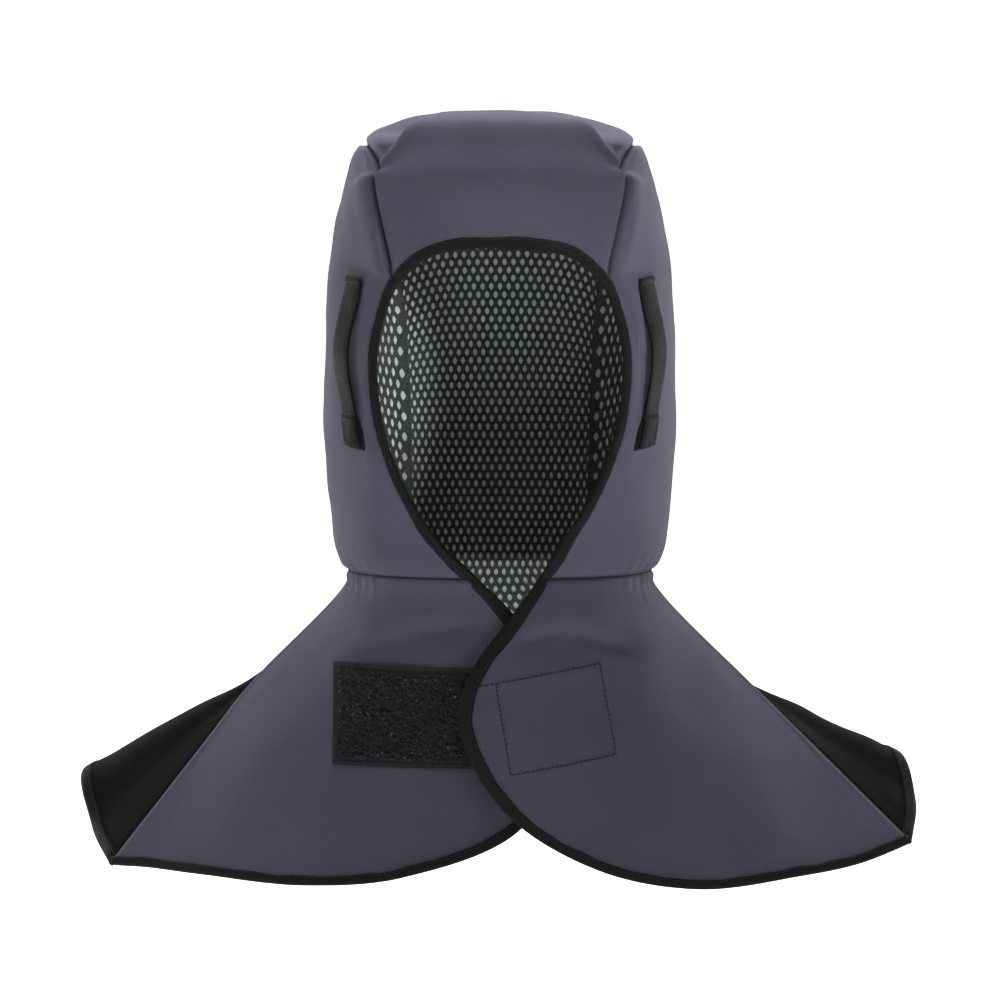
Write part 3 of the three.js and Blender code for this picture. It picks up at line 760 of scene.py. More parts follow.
def webbing_finish(name, colour):
    """Ribbed webbing: slightly shiny threads, with painted highlights on the rib tops and painted shade in
    the grooves.
    """
    finish = Finish(name, roughness=0.75, specular=0.12)
    fibre = finish.fibre(900.0)
    # Painted light: paler where the measure is high, darker where it is low
    base = finish.blend(finish.measure("wear"), shade(colour, 0.6), shade(colour, 1.5))
    ribbed = finish.blend(fibre * 0.4, base, shade(colour, 0.5))
    return finish.dress(ribbed, fibre, 0.5, 0.75, weave_height(finish, 1.1) + fibre, 0.0002)


def pile_finish(name, colour):
    """Hook-and-loop pile: dark tangled loops with a few pale strands."""
    finish = Finish(name, roughness=0.85, specular=0.15)
    tangle = finish.noise(420.0, 4.0, roughness=0.7)
    strand = finish.noise(480.0, 2.0, 0.63, 0.71)
    base = finish.blend(tangle, shade(colour, 0.55), shade(colour, 1.4))
    pale = finish.blend(strand * finish.measure("wear"), base, shade(colour, 6.0))
    return finish.dress(pale, tangle, 0.7, 0.9, tangle + strand, 0.0006)


# Each finish: what makes it, which colour it takes, and its other values
FINISHES = {
    "grey_twill": (cloth_finish, "grey", 0.9, 0.5, 0.86, 0.05),
    "black_twill": (cloth_finish, "black", 0.9, 0.6, 0.9, 0.0),
    "tape_weave": (tape_finish, "tape"),
    "sewing_thread": (yarn_finish, "thread", 1500.0, 0.35, 0.7, 1.4, 0.6, 0.0001),
    "net_threads": (yarn_finish, "net", 800.0, 0.2, 0.6, 1.6, 0.85, 0.0002),
    "net_backing": (backing_finish, "backing"),
    "webbing_ribs": (webbing_finish, "webbing"),
    "hook_and_loop_pile": (pile_finish, "pile"),
}
made_finishes = {}


def finish_named(name):
    """Each finish, made once."""
    if name not in made_finishes:
        make, colour, *values = FINISHES[name]
        made_finishes[name] = make(name, getattr(settings("colours"), colour), *values)
    return made_finishes[name]


# Pieces


def make_piece(name, shape, finishes, nodes=(), face_finish=None, measures=None):
    """Makes a piece from millimetres, with its finishes and the nodes that it stands for."""
    points, faces = shape
    mesh = bpy.data.meshes.new(name)
    mesh.from_pydata(((np.asarray(points) + (0.0, 0.0, LIFT)) * MM).tolist(), [], faces)
    for key, values in (measures or {}).items():
        values = np.asarray(values, np.float32)
        kind, field = ("FLOAT_VECTOR", "vector") if values.ndim == 2 else ("FLOAT", "value")
        mesh.attributes.new(key, kind, "POINT").data.foreach_set(field, values.ravel())
    for finish in finishes:
        mesh.materials.append(finish_named(finish))
    if face_finish is not None:
        mesh.polygons.foreach_set("material_index", np.asarray(face_finish, np.int32))
    work = bmesh.new()
    work.from_mesh(mesh)
    bmesh.ops.recalc_face_normals(work, faces=work.faces)
    work.to_mesh(mesh)
    work.free()
    mesh.shade_smooth()
    mesh.set_sharp_from_angle(angle=SHARP_ANGLE)
    if mesh.validate():
        raise RuntimeError(f"{name} has faces that can't be built")
    piece = bpy.data.objects.new(name, mesh)
    bpy.context.scene.collection.objects.link(piece)
    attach(piece, "root")
    if nodes:
        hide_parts(*nodes)
    return piece


def wall_measures(grid, crease=0.0, wear=0.0):
    """Weave coordinates, painted seam shade, and the measure of painted light and pile, of a wall's two
    faces.
    """
    along, down = lengths_of(grid)
    weave = np.stack([along, down, np.zeros_like(along)], axis=-1).reshape(-1, 3)
    both = {"weave": np.concatenate([weave, weave])}
    for key, values in (("crease", crease), ("wear", wear)):
        flat = np.broadcast_to(values, along.shape).ravel()
        both[key] = np.concatenate([flat, flat])
    return both


def declare_sheet(grid):
    """Works out lengths and steps over a cloth piece's smooth shape, and keeps none of them."""
    along, down = lengths_of(grid)
    across = np.diff(grid, axis=1)[:-1]
    below = np.diff(grid, axis=0)[:, :-1]


def make_cloth(key, node, finish):
    """Makes a cloth panel as a wall."""
    panel = panel_named(key)
    shape = wall(panel.grid, panel.outward, 0.0, -settings("sizes").cloth / MM)
    measures = wall_measures(panel.smooth, panel.crease, panel.wear)
    piece = make_piece(f"{key}_cloth", shape, [finish], [node], measures=measures)
    declare_sheet(panel.smooth)


# Cloth panels


def surface_outward(surface, first, second, step, base):
    """Directions out of a surface at two of its measures, away from the middle of the head."""
    to_first = surface(first + step, second) - surface(first - step, second)
    to_second = surface(first, second + step) - surface(first, second - step)
    outward = unit(np.cross(to_first, to_second))
    outward[np.sum(outward * (base - HEAD_MIDDLE), axis=-1) < 0] *= -1
    return outward


def inner_share(share, step):
    return np.clip(share, step, 1 - step)


def seam_directions(side, at, step=0.02):
    """Direction out of the seam between the crown and a side panel, between the two panels' own."""
    at = np.asarray(at, float)
    surface = side_surfaces["left" if side < 0 else "right"]
    front, top = at < CORNER_AT, (at >= CORNER_AT) & (at <= NAPE_CORNER_AT)
    column = np.where(front, 0.0, np.where(top, (at - CORNER_AT) / (NAPE_CORNER_AT - CORNER_AT), 1.0))
    row = np.where(front, mix(BROW_SHARE, 1, at / CORNER_AT),
                   np.where(top, 1.0, (1 - at) / (1 - NAPE_CORNER_AT)))
    seam = seam_point(side, at)
    panel = surface_outward(surface, inner_share(column, step), inner_share(row, step), step, seam)
    across = np.full_like(at, side * 0.97)
    crown = surface_outward(crown_surface, across, inner_share(at, step), step, seam)
    return unit(panel + crown)


def turn_to_seam(outward, shared, distance, reach=9.0):
    """Turns the outward directions to the seam's own as they come near it."""
    share = hump(distance, 0, reach)[..., None]
    return unit(mix(outward, shared, share))


def level_at_neck(outward, distance, reach=7.0):
    """Turns the outward directions level at the neck seam, where the hood meets the cape."""
    return turn_to_seam(outward, unit(outward * (1.0, 1.0, 0.0)), distance, reach)


def seam_dip(distance, depth, width):
    return -depth * hump(distance, 0, width)


def neck_roll(neck):
    """The soft roll of the hood's cloth above the neck seam."""
    return 0.8 * hump(neck, 16, 9)


def clear_of_brow(grid):
    """0 where the side seams end at the face tape, 1 elsewhere."""
    ends = [np.asarray(seam_point(side, 0.0)) for side in SIDES.values()]
    return smooth(np.min([np.linalg.norm(grid - end, axis=-1) for end in ends], axis=0), 3, 16)


def crown_dents(grid):
    """Ridge over the forehead and the hollow behind it, which is deepest at the two corners."""
    x, y, z = np.abs(grid[..., 0]), grid[..., 1], grid[..., 2]
    is_front = 1 - smooth(y, -52, -22)
    line = np.array(CROWN_RIDGE, float)
    nearest = np.full(x.shape, 1e9)
    beyond = np.zeros(x.shape)
    for start, end in zip(line[:-1], line[1:]):
        along = end - start
        share = np.clip(((x - start[0]) * along[0] + (z - start[1]) * along[1]) / (along @ along), 0, 1)
        gap_x, gap_z = x - start[0] - share * along[0], z - start[1] - share * along[1]
        gap = np.hypot(gap_x, gap_z)
        is_nearer = gap < nearest
        nearest = np.where(is_nearer, gap, nearest)
        beyond = np.where(is_nearer, np.sign(gap_x * along[1] - gap_z * along[0]), beyond)
    corner = smooth(x, 34, 58)
    ridge_height, ridge_width = mix(0.7, 1.9, corner), mix(8.0, 3.4, corner)
    hollow_depth, hollow_width = mix(1.6, 7.0, corner), mix(14.0, 7.0, corner)
    ridge = ridge_height * hump(nearest, 0, ridge_width)
    behind = beyond * nearest
    hollow = -hollow_depth * smooth(behind, 0, hollow_width)
    rim = corner * smooth(behind, 9, 20)
    return (ridge + hollow * (1 - rim) - 1.0 * rim) * is_front


def neck_puckers(grid, distance, height):
    """Small gathers along the neck seam, at the two ends where the hood is fullest."""
    x, y = np.abs(grid[..., 0]), grid[..., 1]
    at_end = smooth(x, 62, 96) * (1 - smooth(np.abs(y), 60, 90))
    angle = np.arctan2(y, x)
    waves = np.sin(angle * 62) + 0.6 * np.sin(angle * 37 + 1.0)
    return height * at_end * waves * np.exp(-distance / 8)


def crown_layout():
    """Places along the crown panel, and their lengths along its centre line in millimetres."""
    dense = np.linspace(0, 1, 2001)
    return dense, run_lengths(crown_surface(np.zeros_like(dense), dense))


class Panel:
    """One cloth panel: its smooth grid, its outward directions, and how far its outer face is moved."""

    def __init__(self, smooth_grid, outward, moved, crease, wear=0.0):
        self.smooth = smooth_grid
        self.outward = outward
        self.moved = moved
        self.grid = smooth_grid + outward * moved[..., None]
        self.crease = crease
        self.wear = wear


def crown_panel():
    depth = settings("sizes").seam_depth / MM
    dense, lengths = crown_layout()
    at = np.interp(np.linspace(0, lengths[-1], CROWN_STEPS[1] + 1), lengths, dense)
    across = denser_ends(CROWN_STEPS[0]) * 2 - 1
    grid = crown_surface(across[None, :], at[:, None])
    left, right, brow, neck = edge_distances(grid)
    outward = outward_of(grid, HEAD_MIDDLE)
    for side, distance in ((-1, left), (1, right)):
        outward = turn_to_seam(outward, seam_directions(side, at)[:, None], distance)
    outward = level_at_neck(outward, neck)
    seam = np.minimum(left, right)
    swell = 1.2 * hump(seam, 11, 8) * smooth(brow, 0, 30)
    moved = seam_dip(seam, depth, SEAM_WIDTH) * clear_of_brow(grid) + swell
    moved += seam_dip(neck, NECK_DIP, NECK_DIP_WIDTH) + neck_roll(neck)
    clear = smooth(np.minimum(brow, neck), 2, 16) * smooth(seam, 2, 14)
    moved += crumple(grid, 11, 55, 0.55) * clear + crown_dents(grid) * smooth(seam, 0, 6)
    # Painted shade in the seam ditches at the sides and at the neck
    crease = hump(seam, 0, 1.7) + hump(neck, 0, 1.7)
    return Panel(grid, outward, moved, np.clip(crease, 0, 1))


def side_panel(name):
    depth = settings("sizes").seam_depth / MM
    side = SIDES[name]
    columns, rows = (denser_ends(steps) for steps in SIDE_STEPS)
    grid = side_surfaces[name](columns[None, :], rows[:, None])
    face, back, neck, top = edge_distances(grid)
    outward = outward_of(grid, HEAD_MIDDLE)
    is_seam = smooth(rows, BROW_SHARE - 0.01, BROW_SHARE + 0.01)[:, None]
    brow = face + (1 - is_seam) * FAR
    outward = turn_to_seam(outward, seam_directions(side, brow_seam_at(rows))[:, None], brow)
    outward = turn_to_seam(outward, seam_directions(side, top_seam_at(columns))[None, :], top)
    outward = turn_to_seam(outward, seam_directions(side, back_seam_at(rows))[:, None], back)
    outward = level_at_neck(outward, neck)
    seam = np.min([brow, top, back], axis=0)
    swell = 1.6 * hump(seam, 10, 9) * smooth(neck, 0, 25)
    moved = seam_dip(seam, depth, SEAM_WIDTH) * clear_of_brow(grid)
    moved += swell * clear_of_brow(grid)
    moved += seam_dip(neck, NECK_DIP, NECK_DIP_WIDTH) + neck_roll(neck) * smooth(face, 4, 24)
    clear = smooth(np.min([seam, neck, face], axis=0), 2, 16)
    is_front = 1 - smooth(grid[..., 1], -60, -30)
    moved += crumple(grid, 21 + side, 48, 0.7) * clear
    moved += fold_height(SIDE_FOLDS[name], grid[..., 0], grid[..., 2]) * is_front * smooth(face, 3, 12)
    moved += neck_puckers(grid, neck, 1.5) * smooth(neck, 0, 3)
    # Painted shade in the seam ditches and along the neck seam
    crease = hump(seam, 0, 1.7) + hump(neck, 0, 1.3)
    return Panel(grid, outward, moved, np.clip(crease, 0, 1))


def flap_panel(name):
    columns, rows = (denser_ends(steps) for steps in FLAP_STEPS)
    grid = flap_surfaces[name](columns[None, :], rows[:, None])
    shoulder, front, neck, hem = edge_distances(grid)
    outward = level_at_neck(outward_of(grid, CAPE_MIDDLE), neck)
    shoulder_roll = 0.9 * hump(shoulder, 2.5, 2.2) * smooth(neck, 0, 12)
    moved = seam_dip(neck, CAPE_DIP, NECK_DIP_WIDTH) + shoulder_roll
    inner = np.min([shoulder, front, neck, hem], axis=0)
    moved += crumple(grid, 31 + SIDES[name], 60, 0.7) * smooth(inner, 4, 22)
    moved += fold_height(FLAP_CREASES[name], grid[..., 0], grid[..., 2]) * smooth(inner, 3, 14)
    moved += neck_puckers(grid, neck, 1.2) * smooth(neck, 0, 3)
    # Painted shade along the neck seam
    crease = hump(neck, 0, 1.4)
    # Painted highlight: paler along the rolled shoulder edge
    wear = hump(shoulder, 0, 1.6) * smooth(neck, 4, 14)
    return Panel(grid, outward, moved, crease, wear)


def cape_panel():
    turns = np.linspace(0, CAPE_TURNS, CAPE_STEPS[0] + 1)
    grid = cape_curves(turns, denser_ends(CAPE_STEPS[1])).transpose(1, 0, 2)
    first, last, neck, hem = edge_distances(grid)
    shoulder = np.minimum(first, last)
    outward = level_at_neck(outward_of(grid, CAPE_MIDDLE), neck)
    moved = seam_dip(neck, CAPE_DIP, NECK_DIP_WIDTH) - CAPE_DIP * hump(shoulder, 0, 3)
    down = neck / (neck + hem)
    at_back = smooth(turns, 5.5, 8)[None, :] * smooth(CAPE_TURNS - turns, 5.5, 8)[None, :]
    swing = np.sin(turns * 1.35 + 0.4)[None, :] * at_back
    moved += 3.2 * swing * smooth(down, 0.15, 0.9)
    bow = np.sin(math.pi * np.clip(down, 0, 1)) * smooth(down, 0.3, 0.65)
    moved += 4.0 * hump(turns, 4, 2.6)[None, :] * bow
    inner = np.min([neck, hem, shoulder], axis=0)
    moved += crumple(grid, 41, 60, 0.7) * smooth(inner, 4, 22)
    # Painted shade along the neck seam and the shoulder seams
    crease = hump(neck, 0, 1.4) + hump(shoulder, 0, 1.5)
    return Panel(grid, outward, moved, np.clip(crease, 0, 1))


PANELS = {"crown": crown_panel, "side": side_panel, "flap": flap_panel, "cape": cape_panel}
made_panels = {}


def panel_named(name):
    """Each panel's shape, worked out once."""
    if name not in made_panels:
        kind, *side = name.split("_")
        made_panels[name] = PANELS[kind](*side)
    return made_panels[name]


# Net lining


def net_mesh(place, width_at, length, pitch, row_pitch, oval):
    """Net with staggered oval holes over its backing. place(u, v, inwards) gives points, width_at(v) the
    cloth's ends. Returns points, faces and the finish of each face: 0 for the net, 1 for the backing."""
    rows = int(round(length / row_pitch))
    step = length / rows
    low, high = width_at(np.linspace(0, length, 2 * rows + 1))
    reach = max(abs(low.min()), abs(high.max()))
    half = int(math.ceil(reach / pitch)) + 1
    corner_order = ((0, -1), (1, -1), (1, 0), (1, 1), (0, 1), (-1, 1), (-1, 0), (-1, -1))
    angles = [math.atan2(dv, du) for du, dv in corner_order]
    keys, places, faces, kinds = {}, [], [], []

    def vertex(u, line, level):
        held = min(max(u, low[line]), high[line])
        key = (round(held, 2), line, level)
        if key not in keys:
            keys[key] = len(places)
            places.append((held, line * step / 2, level))
        return keys[key]

    def add(ring, kind):
        """Adds a face, without the corners that fall together and the spikes that they leave."""
        kept = []
        for corner in ring:
            if kept and kept[-1] == corner:
                continue
            if len(kept) > 1 and kept[-2] == corner:
                kept.pop()
                continue
            kept.append(corner)
        while len(kept) > 2 and (kept[0] == kept[-1] or kept[1] == kept[-1] or kept[0] == kept[-2]):
            if kept[1] == kept[-1]:
                kept.pop(0)
            else:
                kept.pop()
        if len(kept) > 2:
            faces.append(kept)
            kinds.append(kind)

    for row in range(rows):
        line = 2 * row + 1
        for cell in range(-2 * half + 2, 2 * half - 1):
            if (cell + row) % 2:
                continue
            middle = cell * pitch / 2
            corners = [(middle + du * pitch / 2, line + dv) for du, dv in corner_order]
            inside = [low[at] + CELL_MARGIN < u < high[at] - CELL_MARGIN for u, at in corners]
            if not any(inside):
                continue
            rim = [vertex(*corner, 0) for corner in corners]
            back = [vertex(*corner, 3) for corner in corners]
            add(back[::-1], 0)
            left, right = middle - oval[0] / 2, middle + oval[0] / 2
            lowest, highest = low[line - 1:line + 2].max(), high[line - 1:line + 2].min()
            if not (lowest + HOLE_MARGIN < left and right < highest - HOLE_MARGIN):
                add(rim, 0)
                continue
            base = len(places)
            for level in (1, 2):
                for number, angle in enumerate(angles):
                    pointed = OVAL_POINT if number % 2 else 1.0
                    places.append((
                        middle + math.cos(angle) * pointed * oval[0] / 2,
                        line * step / 2 + math.sin(angle) * pointed * oval[1] / 2,
                        level,
                    ))
            sides = len(corners)
            floor = base + sides
            for index in range(sides):
                after = (index + 1) % sides
                add([rim[index], rim[after], base + after, base + index], 0)
                add([base + index, base + after, floor + after, floor + index], 0)
            add([floor + index for index in range(sides)], 1)
    edges = dict.fromkeys(pair for face in faces for pair in zip(face, face[1:] + face[:1]))
    fronts = {index: key for key, index in keys.items() if key[2] == 0}
    for start, end in [edge for edge in edges if (edge[1], edge[0]) not in edges]:
        if start in fronts and end in fronts:
            under = [keys[fronts[corner][:2] + (3,)] for corner in (start, end)]
            add([end, start, under[0], under[1]], 0)
    u, v, level = np.array(places).T
    depths = LINING_THICKNESS - np.array((0.0, NET_RIM, NET_BACKING, LINING_THICKNESS))
    return place(u, v, depths[level.astype(int)]), faces, kinds


def lining_inset(base, inwards, seam, neck, face, seed, dent=0.0):
    """How far the lining lies inside the shell: close at the face, clear of the seams, slack elsewhere."""
    inwards = inwards * mix(EDGE_THINNING, 1.0, smooth(face, 3, 12))
    inset = LINING_TOP + inwards + 3.6 * hump(seam, 0, 3.6) - dent + 3.4 * hump(neck, 0, 8)
    return inset + (LINING_SLACK + crumple(base, seed, 40, 0.5)) * smooth(face, 3, 25)


def crown_net(nape, step=0.004):
    """Layout of the crown's lining, which runs on below the neck seam inside the cape."""
    dense, lengths = crown_layout()
    length = lengths[-1]
    steps = 240
    cape_turns = np.linspace(SIDE_TURNS - 0.5, CAPE_TURNS - SIDE_TURNS + 0.5, 53)
    cape = cape_curves(cape_turns, np.linspace(0, 1, steps + 1))
    cape_out = outward_of(cape.transpose(1, 0, 2), CAPE_MIDDLE).transpose(1, 0, 2)
    cape_length = np.linalg.norm(np.diff(cape, axis=1), axis=-1).sum(axis=1)

    def on_cape(across, below):
        turn = np.interp(NAPE_TURN + SIDE_TURNS * across, cape_turns, np.arange(len(cape_turns)))
        column = np.clip(turn.astype(int), 0, len(cape_turns) - 2)
        part = (turn - column)[:, None]
        share = below / mix(cape_length[column], cape_length[column + 1], part[:, 0])
        at = np.clip(share * steps, 0, steps - 1)
        row = at.astype(int)
        rest = (at - row)[:, None]
        found = []
        for grid in (cape, cape_out):
            first = mix(grid[column, row], grid[column, row + 1], rest)
            second = mix(grid[column + 1, row], grid[column + 1, row + 1], rest)
            found.append(mix(first, second, part))
        return found

    def place(u, v, inwards):
        across = np.clip(u / CROWN_NET_HALF, -1, 1)
        at = np.interp(v, lengths, dense)
        base = crown_surface(across, at)
        inner_across = np.clip(across, -0.99, 0.99)
        outward = surface_outward(crown_surface, inner_across, inner_share(at, step), step, base)
        seam = (1 - np.abs(across)) * crown_at(at)["seam_x"] * 1.15
        for side in SIDES.values():
            turned = turn_to_seam(outward, seam_directions(side, at), seam)
            outward = np.where((across * side > 0)[:, None], turned, outward)
        below, neck = np.maximum(v - length, 0), np.abs(v - length)
        is_cape = (below > 0)[:, None]
        cape_base, cape_outward = on_cape(across, below)
        outward = level_at_neck(np.where(is_cape, cape_outward, outward), neck, reach=24.0)
        inset = lining_inset(base, inwards, seam, neck, v, 51, np.minimum(crown_dents(base), 0))
        return np.where(is_cape, cape_base, base) - outward * inset[:, None]

    def width_at(v):
        return np.full_like(v, -CROWN_NET_HALF), np.full_like(v, CROWN_NET_HALF)

    return place, width_at, length + nape


def side_net(name, step=0.004):
    """Layout of a side panel's lining."""
    side = SIDES[name]
    surface = side_surfaces[name]
    rows = np.linspace(0, 1, 301)
    columns = np.linspace(0, 1, 241)
    grid = surface(columns[None, :], rows[:, None])
    along, _ = lengths_of(grid)
    offsets = along - along[:, -1:] + 0.5
    down = run_lengths(grid[:, len(columns) // 2])
    length = down[-1]

    def ends(v):
        row = np.interp(v, down, rows)
        return np.interp(row, rows, offsets[:, 0]), np.interp(row, rows, offsets[:, -1])

    def place(u, v, inwards):
        row = np.interp(v, down, rows)
        index = row * (len(rows) - 1)
        lower = np.clip(index.astype(int), 0, len(rows) - 2)
        part = index - lower
        column = np.empty_like(u)
        for number in range(len(u)):
            line = mix(offsets[lower[number]], offsets[lower[number] + 1], part[number])
            column[number] = np.interp(u[number], line, columns)
        base = surface(column, row)
        outward = surface_outward(surface, inner_share(column, step), inner_share(row, step), step, base)
        low, high = ends(v)
        face, back, top = u - low, high - u, length - v
        brow = np.where(row > BROW_SHARE, face, FAR)
        edges = ((brow, brow_seam_at(row)), (top, top_seam_at(column)), (back, back_seam_at(row)))
        for distance, at in edges:
            outward = turn_to_seam(outward, seam_directions(side, at), distance)
        seam = np.min([brow, back, top], axis=0)
        inset = lining_inset(base, inwards, seam, v, face, 52 + side)
        return base - outward * inset[:, None]

    return place, ends, length


# Tapes, threads and straps


def tape_rings(edge, inner, out, reach, enclosed, sag=0.0):
    """Cross-sections of a tape folded round a cloth edge, at each point of the edge."""
    along = unit(np.gradient(edge, axis=0))
    inward = inner - edge
    inward = unit(inward - along * np.sum(inward * along, axis=-1, keepdims=True))
    out = unit(out - along * np.sum(out * along, axis=-1, keepdims=True))
    far = reach[:, None] * np.array((1.0, 0.985, 0.86, 0.6, 0.3, 0.08))
    sag = np.broadcast_to(sag, reach.shape)[:, None]
    count = len(edge)
    fold = np.tile((-0.55, -1.0, -1.15, -1.0, -0.55), (count, 1)) - sag * (0.15, 0.5, 1.0, 1.0, 0.9)
    back = np.tile((0.3, 2.6, 5.0, 5.9, 6.0), (count, 1)) - sag * (0.8, 0.5, 0.2, 0.0, 0.0)
    inside = np.tile((5.4, 0.0, 0.0, 5.4), (count, 1))
    across = np.concatenate([far, fold, back, inside], axis=1)
    middle = -enclosed / 2
    up = np.array((
        0.12, 0.5, 0.82, 0.98, 1.02, 0.98,
        0.75, 0.3, middle, -enclosed - 0.35, -enclosed - 0.85,
        -enclosed - 1.15, -enclosed - 1.3, -enclosed - 1.2, -enclosed - 0.8, -enclosed - 0.25,
        -enclosed - 0.08, -enclosed - 0.08, 0.06, 0.06,
    ))
    across[:, -1] = reach - 0.4
    return edge[:, None] + inward[:, None] * across[..., None] + out[:, None] * up[None, :, None]


def even_line(lines, spacing):
    """Reads several lines at even steps of the first one's length."""
    lengths = run_lengths(lines[0])
    aim = np.linspace(0, lengths[-1], max(int(lengths[-1] / spacing), 2) + 1)
    return aim, [read_line(aim, lengths, line) for line in lines]


def stretched_ends(line, extra):
    """A line whose two ends reach a little further."""
    start = line[0] + unit(line[0] - line[1]) * extra
    end = line[-1] + unit(line[-1] - line[-2]) * extra
    return np.concatenate([[start], line[1:-1], [end]])


def stitch_rows(line, out, length, gap, radius):
    """Stitches along a line: short rounded threads whose ends dip into the cloth."""
    lengths = run_lengths(line)
    count = max(int(lengths[-1] / (length + gap)), 1)
    starts = (np.arange(count) + 0.5) * lengths[-1] / count - length / 2
    shares = np.array((0.0, 0.18, 0.5, 0.82, 1.0))
    rise = np.array((-0.5, 0.25, 0.5, 0.25, -0.5)) * radius
    size = np.array((0.45, 0.9, 1.0, 0.9, 0.45)) * radius
    angles = np.arange(6) * math.pi / 3
    parts = []
    for start in starts:
        at = start + shares * length
        middle = read_line(at, lengths, line)
        up = unit(read_line(at, lengths, out))
        aside = unit(np.cross(unit(np.gradient(middle, axis=0)), up))
        centre = middle + up * rise[:, None]
        rings = centre[:, None] + size[:, None, None] * (
            np.cos(angles)[None, :, None] * aside[:, None] + np.sin(angles)[None, :, None] * up[:, None])
        parts.append(tube(rings))
    return joined(parts)


def strap_rings(name):
    """Webbing loop: lies on the side panel at its sewn ends and stands off between them."""
    across = np.linspace(-1, 1, STRAP_STEPS[0] + 1)
    up = np.linspace(0, 1, STRAP_STEPS[1] + 1)
    middle = mix(STRAP_LOW_COLUMN, STRAP_HIGH_COLUMN, up**STRAP_LEAN)
    half = STRAP_HALF_COLUMNS * np.interp(up, *np.array(STRAP_WIDTHS).T)
    column = middle[:, None] + across[None, :] * half[:, None]
    grid = side_surfaces[name](column, mix(STRAP_LOW, STRAP_HIGH, up)[:, None])
    outward = outward_of(grid, HEAD_MIDDLE)
    free = np.clip((up - STRAP_SEWN_LOW) / (1 - STRAP_SEWN_LOW - STRAP_SEWN_HIGH), 0, 1)
    standoff = STRAP_SLACK * np.sin(math.pi * free) ** 2
    return grid + outward * standoff[:, None, None], outward, across, up


def patch_places(name, patch, columns, rows):
    """Flat patch sewn to a flap: a turned rectangle in the front view, carried to the flap's surface."""
    middle_x, middle_z, width, height, degrees = patch
    turn = math.radians(degrees)
    x = (columns[None, :] - 0.5) * width + 0 * rows[:, None]
    z = (0.5 - rows[:, None]) * height + 0 * columns[None, :]
    aim_x = middle_x + x * math.cos(turn) - z * math.sin(turn)
    aim_z = middle_z + x * math.sin(turn) + z * math.cos(turn)
    surface = flap_surfaces[name]
    column, row = np.full(x.shape, 0.6), np.full(x.shape, 0.5)
    step = 0.01
    for _ in range(14):
        here = surface(column, row)
        to_column = (surface(column + step, row) - here) / step
        to_row = (surface(column, row + step) - here) / step
        area = to_column[..., 0] * to_row[..., 2] - to_column[..., 2] * to_row[..., 0]
        miss_x, miss_z = aim_x - here[..., 0], aim_z - here[..., 2]
        column = np.clip(column + (miss_x * to_row[..., 2] - miss_z * to_row[..., 0]) / area, 0, 1 - step)
        row = np.clip(row + (miss_z * to_column[..., 0] - miss_x * to_column[..., 2]) / area, 0, 1 - step)
    return surface(column, row)


# What a user would change


def length_property(name, description, default):
    return FloatProperty(name=name, description=description, default=default, unit="LENGTH")


def power_property(name, description, default):
    return FloatProperty(name=name, description=description, default=default, unit="POWER")


def colour_property(name, description, default):
    return FloatVectorProperty(
        name=name, description=description, default=default, size=3, min=0.0, max=1.0, subtype="COLOR")


class HeadCoverSizes(bpy.types.PropertyGroup):
    """Sizes of the cloth, the net and the trim."""

    cloth: length_property("Cloth", "Thickness of the shell and cape cloth", 0.0016)
    seam_depth: length_property("Seam depth", "How deep the hood's seams lie", 0.0042)
    tape_reach: length_property("Tape width", "Width of the binding tape on one face", 0.0076)
    stitch: length_property("Stitch", "Length of one stitch", 0.0024)
    net_pitch: length_property("Net pitch", "From hole to hole across the net", 0.0062)
    net_row: length_property("Net rows", "From row to row of the net", 0.00575)
    net_hole_width: length_property("Hole width", "Width of a hole of the net", 0.0034)
    net_hole_height: length_property("Hole height", "Height of a hole of the net", 0.0052)
    nape_net: length_property("Nape net", "How far the lining goes on below the neck seam", 0.042)


class HeadCoverColours(bpy.types.PropertyGroup):
    """Colours of the cloths and the trim."""

    grey: colour_property("Grey cloth", "Shell and front flaps", (0.082, 0.080, 0.117))
    black: colour_property("Black cloth", "Back of the cape", (0.0060, 0.0056, 0.0056))
    tape: colour_property("Tape", "Binding tape", (0.0050, 0.0050, 0.0054))
    net: colour_property("Net", "Threads of the net", (0.055, 0.064, 0.061))
    backing: colour_property("Backing", "Cloth behind the net", (0.74, 0.80, 0.78))
    webbing: colour_property("Webbing", "Side straps", (0.0072, 0.0070, 0.0088))
    pile: colour_property("Pile", "Hook-and-loop patches", (0.024, 0.024, 0.027))
    thread: colour_property("Thread", "Sewing thread", (0.009, 0.009, 0.016))


class HeadCoverStage(bpy.types.PropertyGroup):
    """Camera and lights."""

    distance: length_property("Distance", "Camera to the hood", 2.0)
    height: FloatProperty(
        name="Elevation", description="Camera above the level", default=math.radians(3.5), subtype="ANGLE")
    field: length_property("Field", "Width that the picture takes in", 0.65)
    key: power_property("Key", "Narrow level light from the front right", 0.12)
    left: power_property("Left", "Level light from the left", 3.5)
    front: power_property("Front", "Light from the front, above", 3.2)
    high: power_property("High", "Light from high in front", 5.0)
    crown: power_property("Crown", "Light close above the crown", 9.2)
    rim: power_property("Rim", "Light from behind on both sides", 16.0)
    bounce: power_property("Bounce", "Light from the table in front", 0.9)
    lining: power_property("Lining", "Low light into the opening", 0.0034)
    world: FloatProperty(name="Room", description="Even light of the room", default=0.01)


def settings(group):
    return getattr(bpy.context.scene, f"head_cover_{group}")


